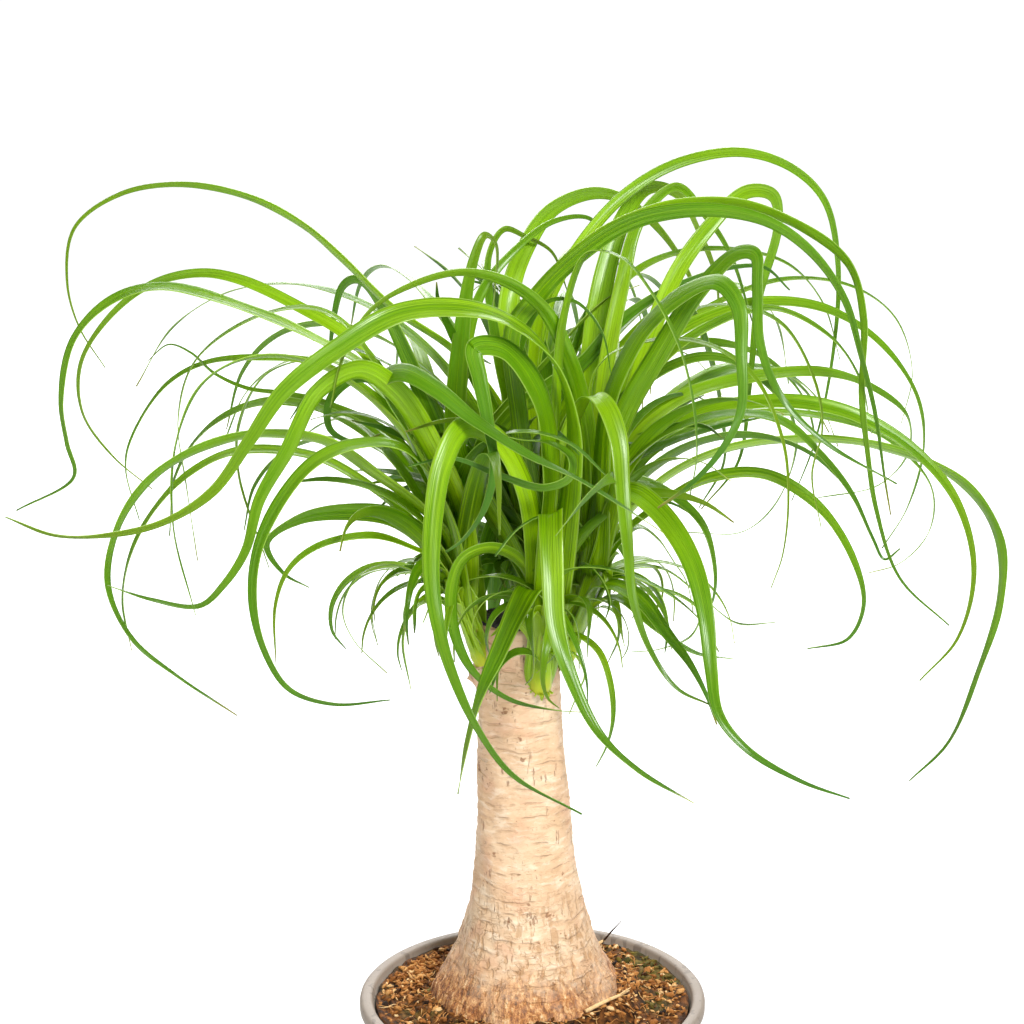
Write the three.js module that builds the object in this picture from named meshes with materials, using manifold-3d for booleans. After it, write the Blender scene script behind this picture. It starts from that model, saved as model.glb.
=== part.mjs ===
// A potted ponytail palm: a thick cut cane in a round pot of bark soil, with four leafy
// shoots that sprout just under the cut and arch over in long strap leaves.
// Millimetres, +Z up, origin in the middle of the pot's flat underside, front towards -Y.
import * as THREE from "three";
import { mergeVertices } from "three/addons/utils/BufferGeometryUtils.js";
import Module from "manifold-3d";

// ---- driving dimensions ----------------------------------------------------------------
const POT_HEIGHT = 190;
const POT_BASE_RADIUS = 88;
const POT_RIM_RADIUS = 121;
const POT_WALL = 8;
const LIP_HEIGHT = 9;
const LIP_STEP = 2.5;

const SOIL_LEVEL = 186;
const SOIL_BUMP = 1.3;
const SOIL_HEAP = 5;
const SOIL_LEAN = 7;
const HEAP_REACH = 88;
const HEAP_SLOPE = 20;
const HEAP_AIM = [0.41, -0.29];
const PIT_FLARE = 196;
const PIT_TOP = 206;
const RELIEF_ROOM = 3.5;
const CLEARANCE = 0.35;

const TRUNK_BOTTOM = 138;
const TRUNK_TOP = 468;
const RINGS_FROM = 190;
const RING_SPACING = 11;
const RING_DEPTH = 1.1;
const TRUNK_SIDES = 22;
const BURIED_ROWS = [TRUNK_BOTTOM, 146, 158, 172, 185];

const BLADE_THICKNESS = 0.9;
const SWAY_STEP = 3;
const SWAY_TRIES = 12;
const FREE_SHARE = 0.08;

const wasm = await Module();
wasm.setup();

// ---- helpers ---------------------------------------------------------------------------
function solidOf(geometry) {
  const bare = geometry.clone();
  bare.deleteAttribute("normal");
  bare.deleteAttribute("uv");
  const merged = mergeVertices(bare, 1e-4);
  const vertProperties = new Float32Array(merged.attributes.position.array);
  const triVerts = new Uint32Array(merged.index.array);
  return new wasm.Manifold(new wasm.Mesh({ numProp: 3, vertProperties, triVerts }));
}

function geometryOf(solid) {
  const mesh = solid.getMesh();
  const geometry = new THREE.BufferGeometry();
  geometry.setAttribute("position", new THREE.BufferAttribute(mesh.vertProperties, 3));
  geometry.setIndex(new THREE.BufferAttribute(mesh.triVerts, 1));
  geometry.computeVertexNormals();
  return geometry;
}

// The largest body of a solid; crumbs left by a cut are dropped.
function mainBody(solid) {
  const bodies = solid.decompose();
  return bodies.reduce((best, body) => (body.volume() > best.volume() ? body : best));
}

function seeded(seed) {
  let state = seed >>> 0;
  return () => {
    state = (state + 0x6d2b79f5) >>> 0;
    let mixed = Math.imul(state ^ (state >>> 15), 1 | state);
    mixed = (mixed + Math.imul(mixed ^ (mixed >>> 7), 61 | mixed)) ^ mixed;
    return ((mixed ^ (mixed >>> 14)) >>> 0) / 4294967296;
  };
}

const clamp01 = (value) => Math.min(1, Math.max(0, value));
const smooth = (value) => clamp01(value) ** 2 * (3 - 2 * clamp01(value));

// Straight-line reading of a table of [position, value] pairs.
function along(table, position) {
  let lower = table[0];
  for (const upper of table) {
    if (position <= upper[0]) {
      const span = upper[0] - lower[0] || 1;
      return lower[1] + ((upper[1] - lower[1]) * (position - lower[0])) / span;
    }
    lower = upper;
  }
  return lower[1];
}

function lathe(profile, sides) {
  const points = profile.map(([radius, height]) => new THREE.Vector2(radius, height));
  const geometry = new THREE.LatheGeometry(points, sides);
  geometry.rotateX(Math.PI / 2);
  return geometry;
}

// ---- pot -------------------------------------------------------------------------------
function potGeometry() {
  const lipBottom = POT_HEIGHT - LIP_HEIGHT;
  const bodyTop = POT_RIM_RADIUS - LIP_STEP;
  const innerTop = POT_RIM_RADIUS - POT_WALL - 1;
  return lathe([
    [0, 0],
    [POT_BASE_RADIUS - 4, 0],
    [POT_BASE_RADIUS, 4],
    [POT_BASE_RADIUS + 12, 60],
    [POT_BASE_RADIUS + 22, 120],
    [bodyTop, lipBottom - 3],
    [bodyTop, lipBottom],
    [POT_RIM_RADIUS, lipBottom + 1.5],
    [POT_RIM_RADIUS, POT_HEIGHT - 2.5],
    [POT_RIM_RADIUS - 2.5, POT_HEIGHT],
    [innerTop + 1.5, POT_HEIGHT],
    [innerTop, POT_HEIGHT - 1.5],
    [innerTop - 2, 150],
    [POT_BASE_RADIUS + 14, 90],
    [POT_BASE_RADIUS - POT_WALL + 2, 12],
    [POT_BASE_RADIUS - POT_WALL - 4, POT_WALL],
    [0, POT_WALL],
  ], 32);
}

// ---- trunk -----------------------------------------------------------------------------
// Radius of the cane by height: a swollen foot in the soil, a waist, a blunt top.
const TRUNK_RADIUS = [
  [TRUNK_BOTTOM, 30], [146, 45], [158, 58], [172, 65.5], [188, 67.5], [196, 65.5],
  [204, 61.8], [216, 54.6], [231, 47.6], [246, 42.9], [261, 39.3], [276, 36.9],
  [298, 33.9], [335, 31.4], [408, 27.9], [440, 27.8], [TRUNK_TOP, 28.4],
];
// The cane leans a little to the left on its way up.
const TRUNK_CENTRE = [[TRUNK_BOTTOM, -4.5], [230, -4.5], [298, -6], [408, -9], [TRUNK_TOP, -9.5]];

// Wavy leaf-scar rings, deeper where the bark is corky, and slow swellings round the cane.
function barkRelief(angle, height, isRidge) {
  const wave = 0.55 * Math.sin(2 * angle + height * 0.031) + 0.45 * Math.sin(5 * angle - height * 0.05);
  const ring = (isRidge ? 0.5 : -0.5) * RING_DEPTH * (1 + 0.35 * wave);
  const swell = 0.9 * Math.sin(3 * angle + height * 0.017) + 0.5 * Math.sin(7 * angle + height * 0.09);
  const roots = 1.6 * Math.sin(9 * angle + 1.3) * smooth((235 - height) / 45);
  return ring + swell + roots;
}

function trunkSolid(grow) {
  const rows = Math.round((TRUNK_TOP - RINGS_FROM) / (RING_SPACING / 2));
  const heights = [...BURIED_ROWS];
  for (let row = 0; row <= rows; row += 1) {
    heights.push(RINGS_FROM + ((TRUNK_TOP - RINGS_FROM) * row) / rows);
  }
  const profile = [[0, TRUNK_BOTTOM], ...heights.map((height) => [along(TRUNK_RADIUS, height), height])];
  const lastRow = heights.length;
  profile.push([TRUNK_RADIUS.at(-1)[1] * 0.55, TRUNK_TOP - 1.2]);
  profile.push([0, TRUNK_TOP - 1.8]);
  const geometry = lathe(profile, TRUNK_SIDES);
  const place = geometry.attributes.position;
  for (let index = 0; index < place.count; index += 1) {
    const x = place.getX(index);
    const y = place.getY(index);
    const height = place.getZ(index);
    const radius = Math.hypot(x, y);
    const angle = Math.atan2(y, x) + Math.PI;
    const row = index % profile.length;
    const isRinged = row > BURIED_ROWS.length && row <= lastRow;
    const wall = along(TRUNK_RADIUS, height);
    const relief = isRinged ? barkRelief(angle, height, row % 2 === 1) : 0;
    const scale = radius > 0.01 ? (radius + (relief + grow) * (radius / wall)) / radius : 1;
    const tilt = isRinged && row < lastRow ? 1.8 * Math.sin(angle + height * 0.06) : 0;
    const lift = row >= lastRow ? grow : 0;
    place.setXYZ(index, x * scale + along(TRUNK_CENTRE, height), y * scale, height + tilt + lift);
  }
  const knob = new THREE.IcosahedronGeometry(8.5 + grow, 1);
  knob.translate(-36, -12, 431);
  const knot = new THREE.IcosahedronGeometry(4 + grow, 1);
  knot.translate(-18, -24, 389);
  return solidOf(geometry).add(solidOf(knob)).add(solidOf(knot));
}

// ---- soil ------------------------------------------------------------------------------
function soilHeight(x, y) {
  const coarse = Math.sin(x * 0.13 + 1.1) * Math.cos(y * 0.11 - 0.4);
  const fine = Math.sin(x * 0.31 - y * 0.23) * Math.cos(y * 0.37 + x * 0.12);
  // The soil is heaped against the foot of the cane, most of all at its front right.
  const outside = Math.hypot(x - along(TRUNK_CENTRE, SOIL_LEVEL), y);
  const frontRight = 0.5 + (HEAP_AIM[0] * x + HEAP_AIM[1] * y) / Math.max(outside, 1);
  const heap = (SOIL_HEAP + SOIL_LEAN * clamp01(frontRight)) * smooth((HEAP_REACH - outside) / HEAP_SLOPE);
  return SOIL_LEVEL + SOIL_BUMP * (0.6 * coarse + 0.6 * fine) + heap;
}

// A short straight stick between two points, sunk at one end or along its length.
function stick(from, to, radius) {
  const start = new THREE.Vector3(...from);
  const end = new THREE.Vector3(...to);
  const axis = end.clone().sub(start);
  const rod = new THREE.CylinderGeometry(radius * 0.7, radius, axis.length(), 5);
  const turn = new THREE.Quaternion().setFromUnitVectors(new THREE.Vector3(0, 1, 0), axis.normalize());
  rod.applyQuaternion(turn);
  const middle = start.add(end).multiplyScalar(0.5);
  rod.translate(middle.x, middle.y, middle.z);
  return solidOf(rod);
}

function soilSolid() {
  const edge = POT_RIM_RADIUS - POT_WALL - 1 - 2.5;
  const profile = [
    [0, POT_WALL + CLEARANCE],
    [POT_BASE_RADIUS - POT_WALL - 5, POT_WALL + CLEARANCE],
    [POT_BASE_RADIUS - POT_WALL + 1, 12],
    [POT_BASE_RADIUS + 13, 90],
    [edge - 0.2, 150],
  ];
  const rimRow = profile.length;
  for (let ring = 0; ring < 7; ring += 1) {
    profile.push([edge - ring * 8, SOIL_LEVEL]);
  }
  profile.push([0, SOIL_LEVEL]);
  const geometry = lathe(profile, 32);
  const place = geometry.attributes.position;
  for (let index = 0; index < place.count; index += 1) {
    if (index % profile.length >= rimRow) {
      place.setZ(index, soilHeight(place.getX(index), place.getY(index)));
    }
  }
  const hole = [[0, TRUNK_BOTTOM - CLEARANCE]];
  BURIED_ROWS.forEach((height) => {
    hole.push([along(TRUNK_RADIUS, height) + CLEARANCE, height - CLEARANCE]);
  });
  for (const height of [RINGS_FROM, PIT_FLARE, PIT_TOP]) {
    hole.push([along(TRUNK_RADIUS, height) + RELIEF_ROOM, height]);
  }
  hole.push([0, PIT_TOP]);
  const pit = lathe(hole, TRUNK_SIDES);
  pit.translate(along(TRUNK_CENTRE, SOIL_LEVEL), 0, 0);
  let soil = solidOf(geometry).subtract(solidOf(pit));
  soil = soil.add(stick([42, 80, 180], [47, 80, 191], 1.1)).add(stick([45, 80, 187], [65, 78, 211], 0.9));
  soil = soil.add(stick([42, -56, 196], [65, -24, 201], 1.5));
  return mainBody(soil);
}

// ---- leaves ----------------------------------------------------------------------------
// A leaf is its widest width, the turn of its blade from root to tip in degrees, how far its
// tip leans away from the light (or towards it, below zero), and the way that its midrib would
// take upright, from just above the root to the tip.
const leaf = (width, turn, lean, ...way) => ({ width, turn, lean, way });
const LIGHT = new THREE.Vector3(-14, -2057, 1151);

// Each shoot has a short stout stem, from its seat on the cane to its top.
const SHOOTS = {
  front: {
    seat: [5, -27, 428], crown: [8, -43, 482], radius: 9,
    leaves: [
      leaf(18, 20, -70, [22, -50, 560], [24, -56, 620], [10, -62, 664], [-18, -70, 690], [-46, -76, 699],
        [-86, -86, 698], [-124, -95, 678], [-159, -102, 651], [-181, -108, 620], [-204, -113, 589],
        [-236, -118, 570], [-271, -122, 563], [-303, -125, 564], [-333, -128, 577]),
      leaf(18, -115, -90, [2, -48, 530], [-6, -56, 578], [-24, -66, 612], [-45, -78, 622], [-58, -90, 602],
        [-64, -98, 571], [-66, -104, 533], [-62, -109, 500], [-52, -113, 465], [-36, -117, 430],
        [-14, -119, 400], [31, -122, 374]),
      leaf(12, -120, -30, [0, -46, 505], [-12, -50, 526], [-30, -56, 534], [-46, -60, 528], [-53, -65, 512],
        [-53, -68, 485], [-41, -72, 456], [-17, -76, 437], [14, -79, 430], [31, -80, 429]),
      leaf(18, -40, -40, [3, -47, 494], [-2, -54, 505], [-11, -64, 492], [-24, -72, 464], [-35, -78, 440],
        [-44, -84, 408], [-50, -87, 374]),
      leaf(19, 5, -90, [9, -48, 515], [11, -55, 548], [11, -66, 561], [11, -79, 552], [12, -87, 526],
        [14, -93, 494], [24, -99, 460], [42, -105, 424], [68, -111, 400], [104, -118, 380]),
      leaf(20, 95, -40, [8, -46, 540], [10, -52, 590], [2, -60, 640], [-20, -68, 671], [-38, -76, 673],
        [-35, -80, 655], [-29, -84, 623], [-26, -88, 597], [-33, -90, 569], [-47, -92, 550],
        [-57, -93, 543]),
      leaf(15, 150, -30, [-8, -48, 520], [-33, -56, 570], [-50, -68, 605], [-40, -84, 622], [-9, -95, 618],
        [10, -99, 617], [23, -103, 609], [22, -107, 597], [6, -110, 591], [-22, -110, 599],
        [-52, -109, 610], [-80, -106, 604]),
      leaf(14, 22, -40, [2, -46, 540], [-10, -46, 620], [-14, -46, 678], [2, -46, 701], [19, -48, 720],
        [50, -54, 745], [77, -62, 757], [115, -74, 762], [148, -85, 756], [174, -92, 738],
        [194, -98, 710], [205, -101, 675], [215, -104, 637], [222, -107, 595], [226, -110, 573]),
      leaf(9, 60, -60, [10, -44, 540], [14, -42, 620], [20, -43, 690], [35, -46, 729], [56, -54, 727],
        [75, -62, 706], [91, -70, 677], [101, -78, 641], [104, -82, 604], [100, -85, 579]),
      leaf(8, 20, -30, [2, -47, 530], [-12, -54, 610], [-8, -60, 672], [8, -65, 701], [26, -68, 702],
        [43, -72, 683], [49, -74, 655]),
      leaf(18, 40, -80, [15, -46, 530], [18, -51, 580], [27, -58, 624], [37, -68, 640], [45, -79, 637],
        [53, -89, 618], [56, -97, 587], [60, -104, 545], [63, -108, 517], [74, -112, 484],
        [92, -115, 458], [113, -118, 448]),
      leaf(8, 20, -30, [16, -44, 470], [30, -46, 470], [43, -48, 460], [51, -50, 438], [53, -51, 414],
        [49, -52, 395], [42, -52, 380]),
      leaf(5, 10, -10, [16, -42, 456], [26, -43, 457], [34, -44, 443], [30, -45, 431], [24, -45, 415]),
    ],
  },
  right: {
    seat: [19, -7, 440], crown: [39, -13, 492], radius: 10,
    leaves: [
      leaf(16, 10, -70, [47, -18, 540], [56, -25, 606], [81, -40, 662], [105, -54, 706], [128, -67, 733],
        [139, -77, 734], [140, -85, 716], [142, -92, 681], [156, -98, 647], [184, -104, 619],
        [229, -112, 594]),
      leaf(16, -165, -60, [42, -26, 540], [47, -36, 624], [66, -50, 674], [93, -65, 706], [116, -79, 717],
        [128, -91, 704], [130, -98, 675], [130, -104, 640], [117, -109, 614], [97, -111, 592],
        [78, -111, 578]),
      leaf(17, 10, -20, [46, -26, 530], [54, -42, 566], [66, -64, 574], [84, -88, 564], [100, -116, 543],
        [108, -138, 515], [111, -152, 485], [116, -160, 457], [134, -168, 436], [168, -180, 419],
        [197, -188, 411]),
      leaf(12, 25, -40, [46, -16, 530], [62, -22, 570], [90, -36, 565], [111, -46, 547], [119, -53, 519],
        [118, -57, 500], [113, -59, 489]),
      leaf(11, 20, 20, [46, -8, 505], [58, -5, 525], [70, 0, 532], [84, 4, 522], [95, 8, 505],
        [104, 10, 490], [109, 12, 468]),
      leaf(18, 15, -50, [43, -24, 497], [52, -34, 502], [70, -55, 499], [86, -72, 482], [102, -86, 464],
        [113, -94, 444], [119, -98, 427]),
      leaf(10, 10, -60, [46, -20, 488], [60, -25, 488], [84, -31, 469], [109, -37, 455], [134, -40, 452]),
      leaf(8, 20, 30, [48, 4, 490], [62, 12, 498], [88, 20, 496], [117, 28, 472], [141, 32, 453],
        [167, 34, 453]),
      leaf(6, 20, 20, [50, 0, 480], [74, 5, 486], [98, 10, 481], [113, 12, 468], [108, 12, 451],
        [86, 12, 441], [67, 12, 439]),
      leaf(6, 0, -10, [46, -20, 482], [55, -22, 478], [57, -24, 462], [50, -25, 444]),
      leaf(15, 30, -60, [46, -18, 530], [54, -23, 568], [86, -34, 605], [126, -45, 622], [160, -54, 620],
        [185, -61, 600], [206, -66, 574], [220, -69, 545], [228, -70, 531], [238, -69, 538]),
      leaf(13, 70, -50, [48, -8, 540], [62, -6, 574], [100, -5, 607], [155, -8, 621], [206, -11, 615],
        [250, -14, 591], [281, -17, 555], [294, -20, 508], [285, -22, 461], [260, -24, 431]),
      leaf(13, 75, 40, [52, -4, 522], [85, 4, 561], [128, 10, 582], [180, 15, 588], [234, 19, 582],
        [290, 23, 556], [317, 26, 516], [320, 28, 470], [308, 30, 420], [289, 31, 366],
        [263, 32, 337]),
      leaf(14, 45, 40, [48, 4, 540], [61, 12, 584], [97, 24, 614], [148, 38, 626], [199, 51, 626],
        [232, 60, 613], [257, 66, 591], [258, 69, 563], [239, 70, 541], [197, 69, 532]),
      leaf(9, 40, 40, [40, 5, 550], [50, 14, 604], [82, 22, 632], [113, 30, 642], [139, 38, 635],
        [173, 50, 601], [180, 55, 573], [167, 60, 530], [145, 61, 510], [107, 59, 510]),
      leaf(7, 50, -60, [37, -26, 580], [42, -36, 652], [77, -48, 672], [114, -60, 671], [141, -70, 653],
        [159, -81, 614], [163, -86, 577], [160, -89, 540], [153, -90, 518]),
      leaf(7, 40, -50, [43, -12, 560], [66, -15, 636], [99, -20, 683], [131, -26, 690], [161, -32, 679],
        [182, -38, 644], [188, -41, 612], [182, -42, 580], [189, -41, 544]),
      leaf(11, 30, 30, [46, -2, 560], [70, 4, 625], [100, 8, 658], [155, 15, 679], [196, 19, 660],
        [218, 22, 630], [228, 24, 590]),
      leaf(15, 10, 50, [36, 0, 540], [30, 14, 600], [35, 32, 672], [52, 52, 727], [73, 72, 749],
        [98, 90, 741], [115, 104, 710], [127, 115, 678], [130, 118, 650]),
      leaf(13, 60, -40, [52, -10, 520], [82, -13, 549], [117, -15, 570], [154, -17, 573], [190, -19, 551],
        [214, -20, 514], [221, -21, 483], [211, -22, 460], [184, -22, 453]),
      leaf(10, 40, 40, [50, 2, 530], [76, 18, 575], [127, 30, 598], [182, 40, 600], [239, 51, 581],
        [274, 58, 543], [274, 61, 510], [255, 62, 487], [233, 61, 480]),
      leaf(12, 15, 30, [42, -6, 550], [46, 6, 622], [58, 24, 689], [71, 38, 734], [95, 48, 754],
        [116, 56, 732], [133, 64, 705], [150, 70, 655]),
      leaf(14, 20, 50, [50, -6, 560], [68, 5, 630], [92, 20, 696], [114, 32, 727], [141, 44, 751],
        [160, 53, 747], [164, 58, 725], [153, 63, 675], [148, 64, 614], [141, 63, 559],
        [116, 58, 527]),
      leaf(13, 15, -50, [38, -24, 550], [33, -38, 620], [21, -50, 664], [6, -56, 694], [-17, -62, 713],
        [-46, -68, 721], [-77, -72, 714], [-104, -76, 698], [-122, -80, 668], [-130, -82, 636]),
    ],
  },
  left: {
    seat: [-33, -11, 440], crown: [-50, -15, 488], radius: 9,
    leaves: [
      leaf(12, -40, 40, [-62, -10, 560], [-90, 0, 620], [-120, 10, 658], [-155, 20, 678], [-196, 30, 695],
        [-223, 36, 698], [-256, 42, 689], [-286, 47, 665], [-307, 52, 631], [-307, 55, 596],
        [-288, 58, 565], [-262, 60, 541]),
      leaf(15, -57, -60, [-60, -16, 550], [-80, -18, 605], [-108, -20, 645], [-138, -22, 664],
        [-175, -26, 683], [-240, -33, 704], [-273, -37, 696], [-298, -41, 671], [-307, -45, 631],
        [-304, -47, 603], [-300, -50, 581], [-338, -53, 559]),
      leaf(13, 85, -60, [-58, -20, 530], [-78, -25, 555], [-104, -35, 578], [-135, -45, 603],
        [-166, -55, 611], [-192, -62, 611], [-225, -70, 601], [-250, -78, 584], [-268, -85, 557],
        [-275, -90, 520], [-260, -95, 485], [-232, -98, 461], [-193, -100, 434]),
      leaf(11, -45, 30, [-60, -14, 515], [-83, -12, 541], [-110, -14, 565], [-145, -15, 585],
        [-196, -16, 589], [-227, -17, 575], [-251, -18, 551], [-268, -19, 521], [-275, -20, 487],
        [-270, -20, 451]),
      leaf(20, 140, -60, [-46, -24, 540], [-66, -48, 600], [-88, -62, 641], [-111, -75, 659],
        [-137, -88, 648], [-157, -98, 612], [-175, -104, 581], [-184, -108, 549], [-198, -110, 527],
        [-214, -112, 513], [-245, -114, 518], [-272, -116, 528]),
      leaf(14, -60, -50, [-58, -18, 548], [-87, -26, 594], [-119, -34, 598], [-144, -40, 588],
        [-165, -46, 565], [-181, -50, 532], [-185, -54, 497], [-178, -57, 464], [-162, -60, 438],
        [-133, -62, 428], [-95, -62, 431]),
      leaf(15, -165, 20, [-64, -8, 515], [-92, 2, 537], [-123, 5, 541], [-157, 8, 535], [-180, 10, 517],
        [-169, 10, 496], [-152, 10, 486]),
      leaf(9, -60, -50, [-62, -30, 515], [-80, -42, 530], [-106, -50, 541], [-141, -60, 537],
        [-160, -66, 523], [-169, -70, 499], [-169, -74, 460]),
      leaf(17, -130, -40, [-58, -22, 540], [-82, -38, 605], [-98, -52, 646], [-84, -64, 655], [-62, -75, 646],
        [-39, -83, 629], [-5, -90, 608], [30, -97, 592], [82, -106, 560]),
      leaf(17, 10, 10, [-52, -13, 560], [-50, -4, 640], [-40, 4, 712], [-32, 10, 729], [-25, 15, 722],
        [-25, 18, 696], [-28, 20, 672]),
      leaf(10, 30, 30, [-50, -8, 560], [-48, -2, 630], [-35, 6, 690], [-9, 20, 720], [14, 32, 734],
        [38, 44, 733], [52, 56, 705], [55, 60, 675]),
      leaf(7, -60, 30, [-60, -14, 540], [-88, -12, 594], [-138, -8, 620], [-168, -5, 626], [-190, 0, 628],
        [-212, 5, 637], [-227, 8, 650], [-242, 11, 655], [-257, 13, 643]),
      leaf(9, 40, -60, [-60, -20, 550], [-85, -30, 604], [-125, -38, 645], [-160, -44, 660],
        [-192, -49, 658], [-216, -53, 642], [-232, -57, 605], [-235, -60, 550], [-222, -62, 490]),
      leaf(8, 35, 40, [-58, -8, 550], [-80, 2, 604], [-108, 8, 634], [-143, 14, 644], [-178, 18, 633],
        [-197, 21, 600], [-199, 23, 563], [-180, 25, 495]),
      leaf(14, -140, -20, [-56, -14, 560], [-78, -10, 606], [-98, -6, 632], [-118, -4, 636], [-135, -3, 620],
        [-135, -2, 600], [-117, -2, 591], [-102, -2, 597]),
      leaf(17, -130, 30, [-54, -8, 570], [-80, 4, 640], [-100, 14, 680], [-116, 24, 696], [-127, 33, 690],
        [-135, 42, 660], [-138, 46, 625]),
      leaf(7, 20, -30, [-54, -24, 488], [-69, -32, 504], [-97, -40, 518], [-118, -46, 509],
        [-126, -49, 489], [-119, -51, 469], [-97, -52, 446]),
      leaf(7, 10, -20, [-50, -22, 484], [-62, -26, 489], [-80, -31, 484], [-87, -35, 464],
        [-82, -38, 430]),
    ],
  },
  back: {
    seat: [-6, 24, 438], crown: [-1, 42, 492], radius: 9,
    leaves: [
      leaf(12, -40, 50, [-8, 44, 540], [-20, 36, 600], [-52, 25, 646], [-93, 27, 675], [-128, 43, 706],
        [-154, 55, 726], [-191, 72, 742], [-238, 88, 748], [-282, 100, 739], [-315, 107, 714],
        [-322, 111, 675], [-315, 112, 643], [-298, 112, 614]),
      leaf(11, 20, 40, [-8, 47, 560], [-26, 52, 650], [-30, 57, 705], [-20, 63, 722], [-5, 73, 715],
        [13, 84, 702], [24, 94, 672]),
      leaf(14, -12, 60, [-5, 46, 540], [-14, 52, 610], [-16, 62, 676], [-5, 78, 707], [12, 92, 729],
        [39, 108, 738], [63, 122, 731], [94, 138, 700], [115, 150, 660], [120, 154, 625]),
      leaf(12, 12, 50, [-1, 44, 540], [-1, 48, 610], [10, 51, 674], [30, 59, 710], [60, 70, 743],
        [96, 82, 763], [141, 94, 769], [176, 102, 757], [200, 109, 733], [211, 115, 690],
        [211, 120, 631], [200, 122, 560], [184, 122, 514]),
      leaf(13, 70, -60, [2, 45, 560], [0, 44, 630], [10, 40, 684], [35, 30, 718], [79, 8, 746],
        [128, -15, 755], [170, -40, 745], [200, -58, 724], [209, -72, 692], [208, -85, 645],
        [212, -92, 610], [218, -97, 574], [234, -104, 529], [266, -110, 499]),
      leaf(11, 40, 40, [4, 45, 520], [20, 48, 578], [44, 53, 615], [75, 57, 638], [117, 65, 661],
        [159, 74, 670], [201, 82, 663], [238, 88, 639], [266, 94, 600], [273, 97, 562],
        [263, 98, 516], [246, 96, 487]),
      leaf(6, 40, 50, [6, 48, 540], [45, 60, 604], [85, 72, 642], [132, 92, 668], [176, 110, 678],
        [223, 126, 669], [255, 136, 644], [269, 143, 603], [263, 146, 565]),
      leaf(8, 30, 40, [4, 46, 570], [30, 56, 645], [64, 67, 688], [94, 78, 702], [137, 90, 703],
        [176, 101, 690], [201, 110, 661], [215, 117, 618]),
      leaf(12, 10, 60, [5, 48, 560], [35, 60, 622], [65, 76, 656], [92, 94, 670], [111, 108, 655],
        [125, 124, 618], [134, 138, 577], [137, 147, 535], [120, 152, 500]),
    ],
  },
};

// Leaves that grow by rule, in fans: how many, the span of headings in degrees from +X, the
// blade's length and width, its first climb and last fall in degrees, and how late it bends.
const FANS = {
  front: [
    { count: 3, headings: [-150, -20], length: [80, 140], width: 8, climb: 55, fall: -95, bend: 1.0, seed: 11 },
  ],
  right: [
    { count: 4, headings: [35, 85], length: [280, 400], width: 13, climb: 82, fall: -78, bend: 1.3, seed: 21 },
    { count: 3, headings: [-60, 60], length: [80, 150], width: 7, climb: 50, fall: -100, bend: 1.0, seed: 22 },
  ],
  left: [
    { count: 4, headings: [98, 150], length: [260, 380], width: 13, climb: 82, fall: -80, bend: 1.3, seed: 31 },
    { count: 4, headings: [120, 250], length: [80, 150], width: 7, climb: 50, fall: -100, bend: 1.0, seed: 32 },
  ],
  back: [
    { count: 11, headings: [20, 165], length: [360, 500], width: 14, climb: 84, fall: -76, bend: 1.35, seed: 41 },
    { count: 4, headings: [50, 130], length: [240, 330], width: 12, climb: 86, fall: -60, bend: 1.6, seed: 42 },
    { count: 4, headings: [30, 150], length: [80, 150], width: 7, climb: 45, fall: -100, bend: 1.0, seed: 43 },
  ],
};
const FAN_STEPS = 8;

// One fan's leaves, each bending over from its climb to its fall as it draws out.
function fanLeaves(fan, crown) {
  const random = seeded(fan.seed);
  const between = (low, high) => low + (high - low) * random();
  const leaves = [];
  for (let index = 0; index < fan.count; index += 1) {
    const spread = (index + between(0.2, 0.8)) / fan.count;
    let heading = THREE.MathUtils.degToRad(fan.headings[0] + (fan.headings[1] - fan.headings[0]) * spread);
    const length = between(...fan.length);
    const climb = fan.climb - between(0, 8);
    const fall = fan.fall - between(-18, 18);
    const veer = THREE.MathUtils.degToRad(between(-7, 7));
    const width = fan.width * between(0.85, 1.1);
    const turn = between(-45, 45);
    const step = length / FAN_STEPS;
    const point = new THREE.Vector3(...crown);
    const way = [];
    for (let stage = 0; stage < FAN_STEPS; stage += 1) {
      const share = (stage + 0.5) / FAN_STEPS;
      const pitch = THREE.MathUtils.degToRad(climb + (fall - climb) * share ** fan.bend);
      point.x += step * Math.cos(pitch) * Math.cos(heading);
      point.y += step * Math.cos(pitch) * Math.sin(heading);
      point.z += step * Math.sin(pitch);
      heading += veer;
      way.push(point.toArray());
    }
    leaves.push({ width, turn, lean: 0, way });
  }
  return leaves;
}

// Leaves root round the stem's axis, sunk into it, each on the side it leaves by.
function rootOf(shoot, way, share) {
  const height = 0.25 + 0.65 * share;
  const root = new THREE.Vector3(...shoot.seat).lerp(new THREE.Vector3(...shoot.crown), height);
  const aim = new THREE.Vector3(...way[Math.min(2, way.length - 1)]).sub(root).setZ(0);
  const sink = Math.min(shoot.radius - 4.5, aim.length());
  return root.add(aim.normalize().multiplyScalar(sink));
}

// Moves a midrib along the lines from the light: the lean grows evenly up to the tip, and the
// sway, which clears the leaf of its neighbours, over its first third.
function swayed(way, lean, sway) {
  const lengths = [0];
  for (let index = 1; index < way.length; index += 1) {
    lengths.push(lengths[index - 1] + way[index].distanceTo(way[index - 1]));
  }
  return way.map((point, index) => {
    const share = lengths[index] / lengths.at(-1);
    const amount = lean * share + sway * smooth(share / 0.35);
    const ray = point.clone().sub(LIGHT);
    return point.clone().addScaledVector(ray, amount / ray.y);
  });
}

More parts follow.
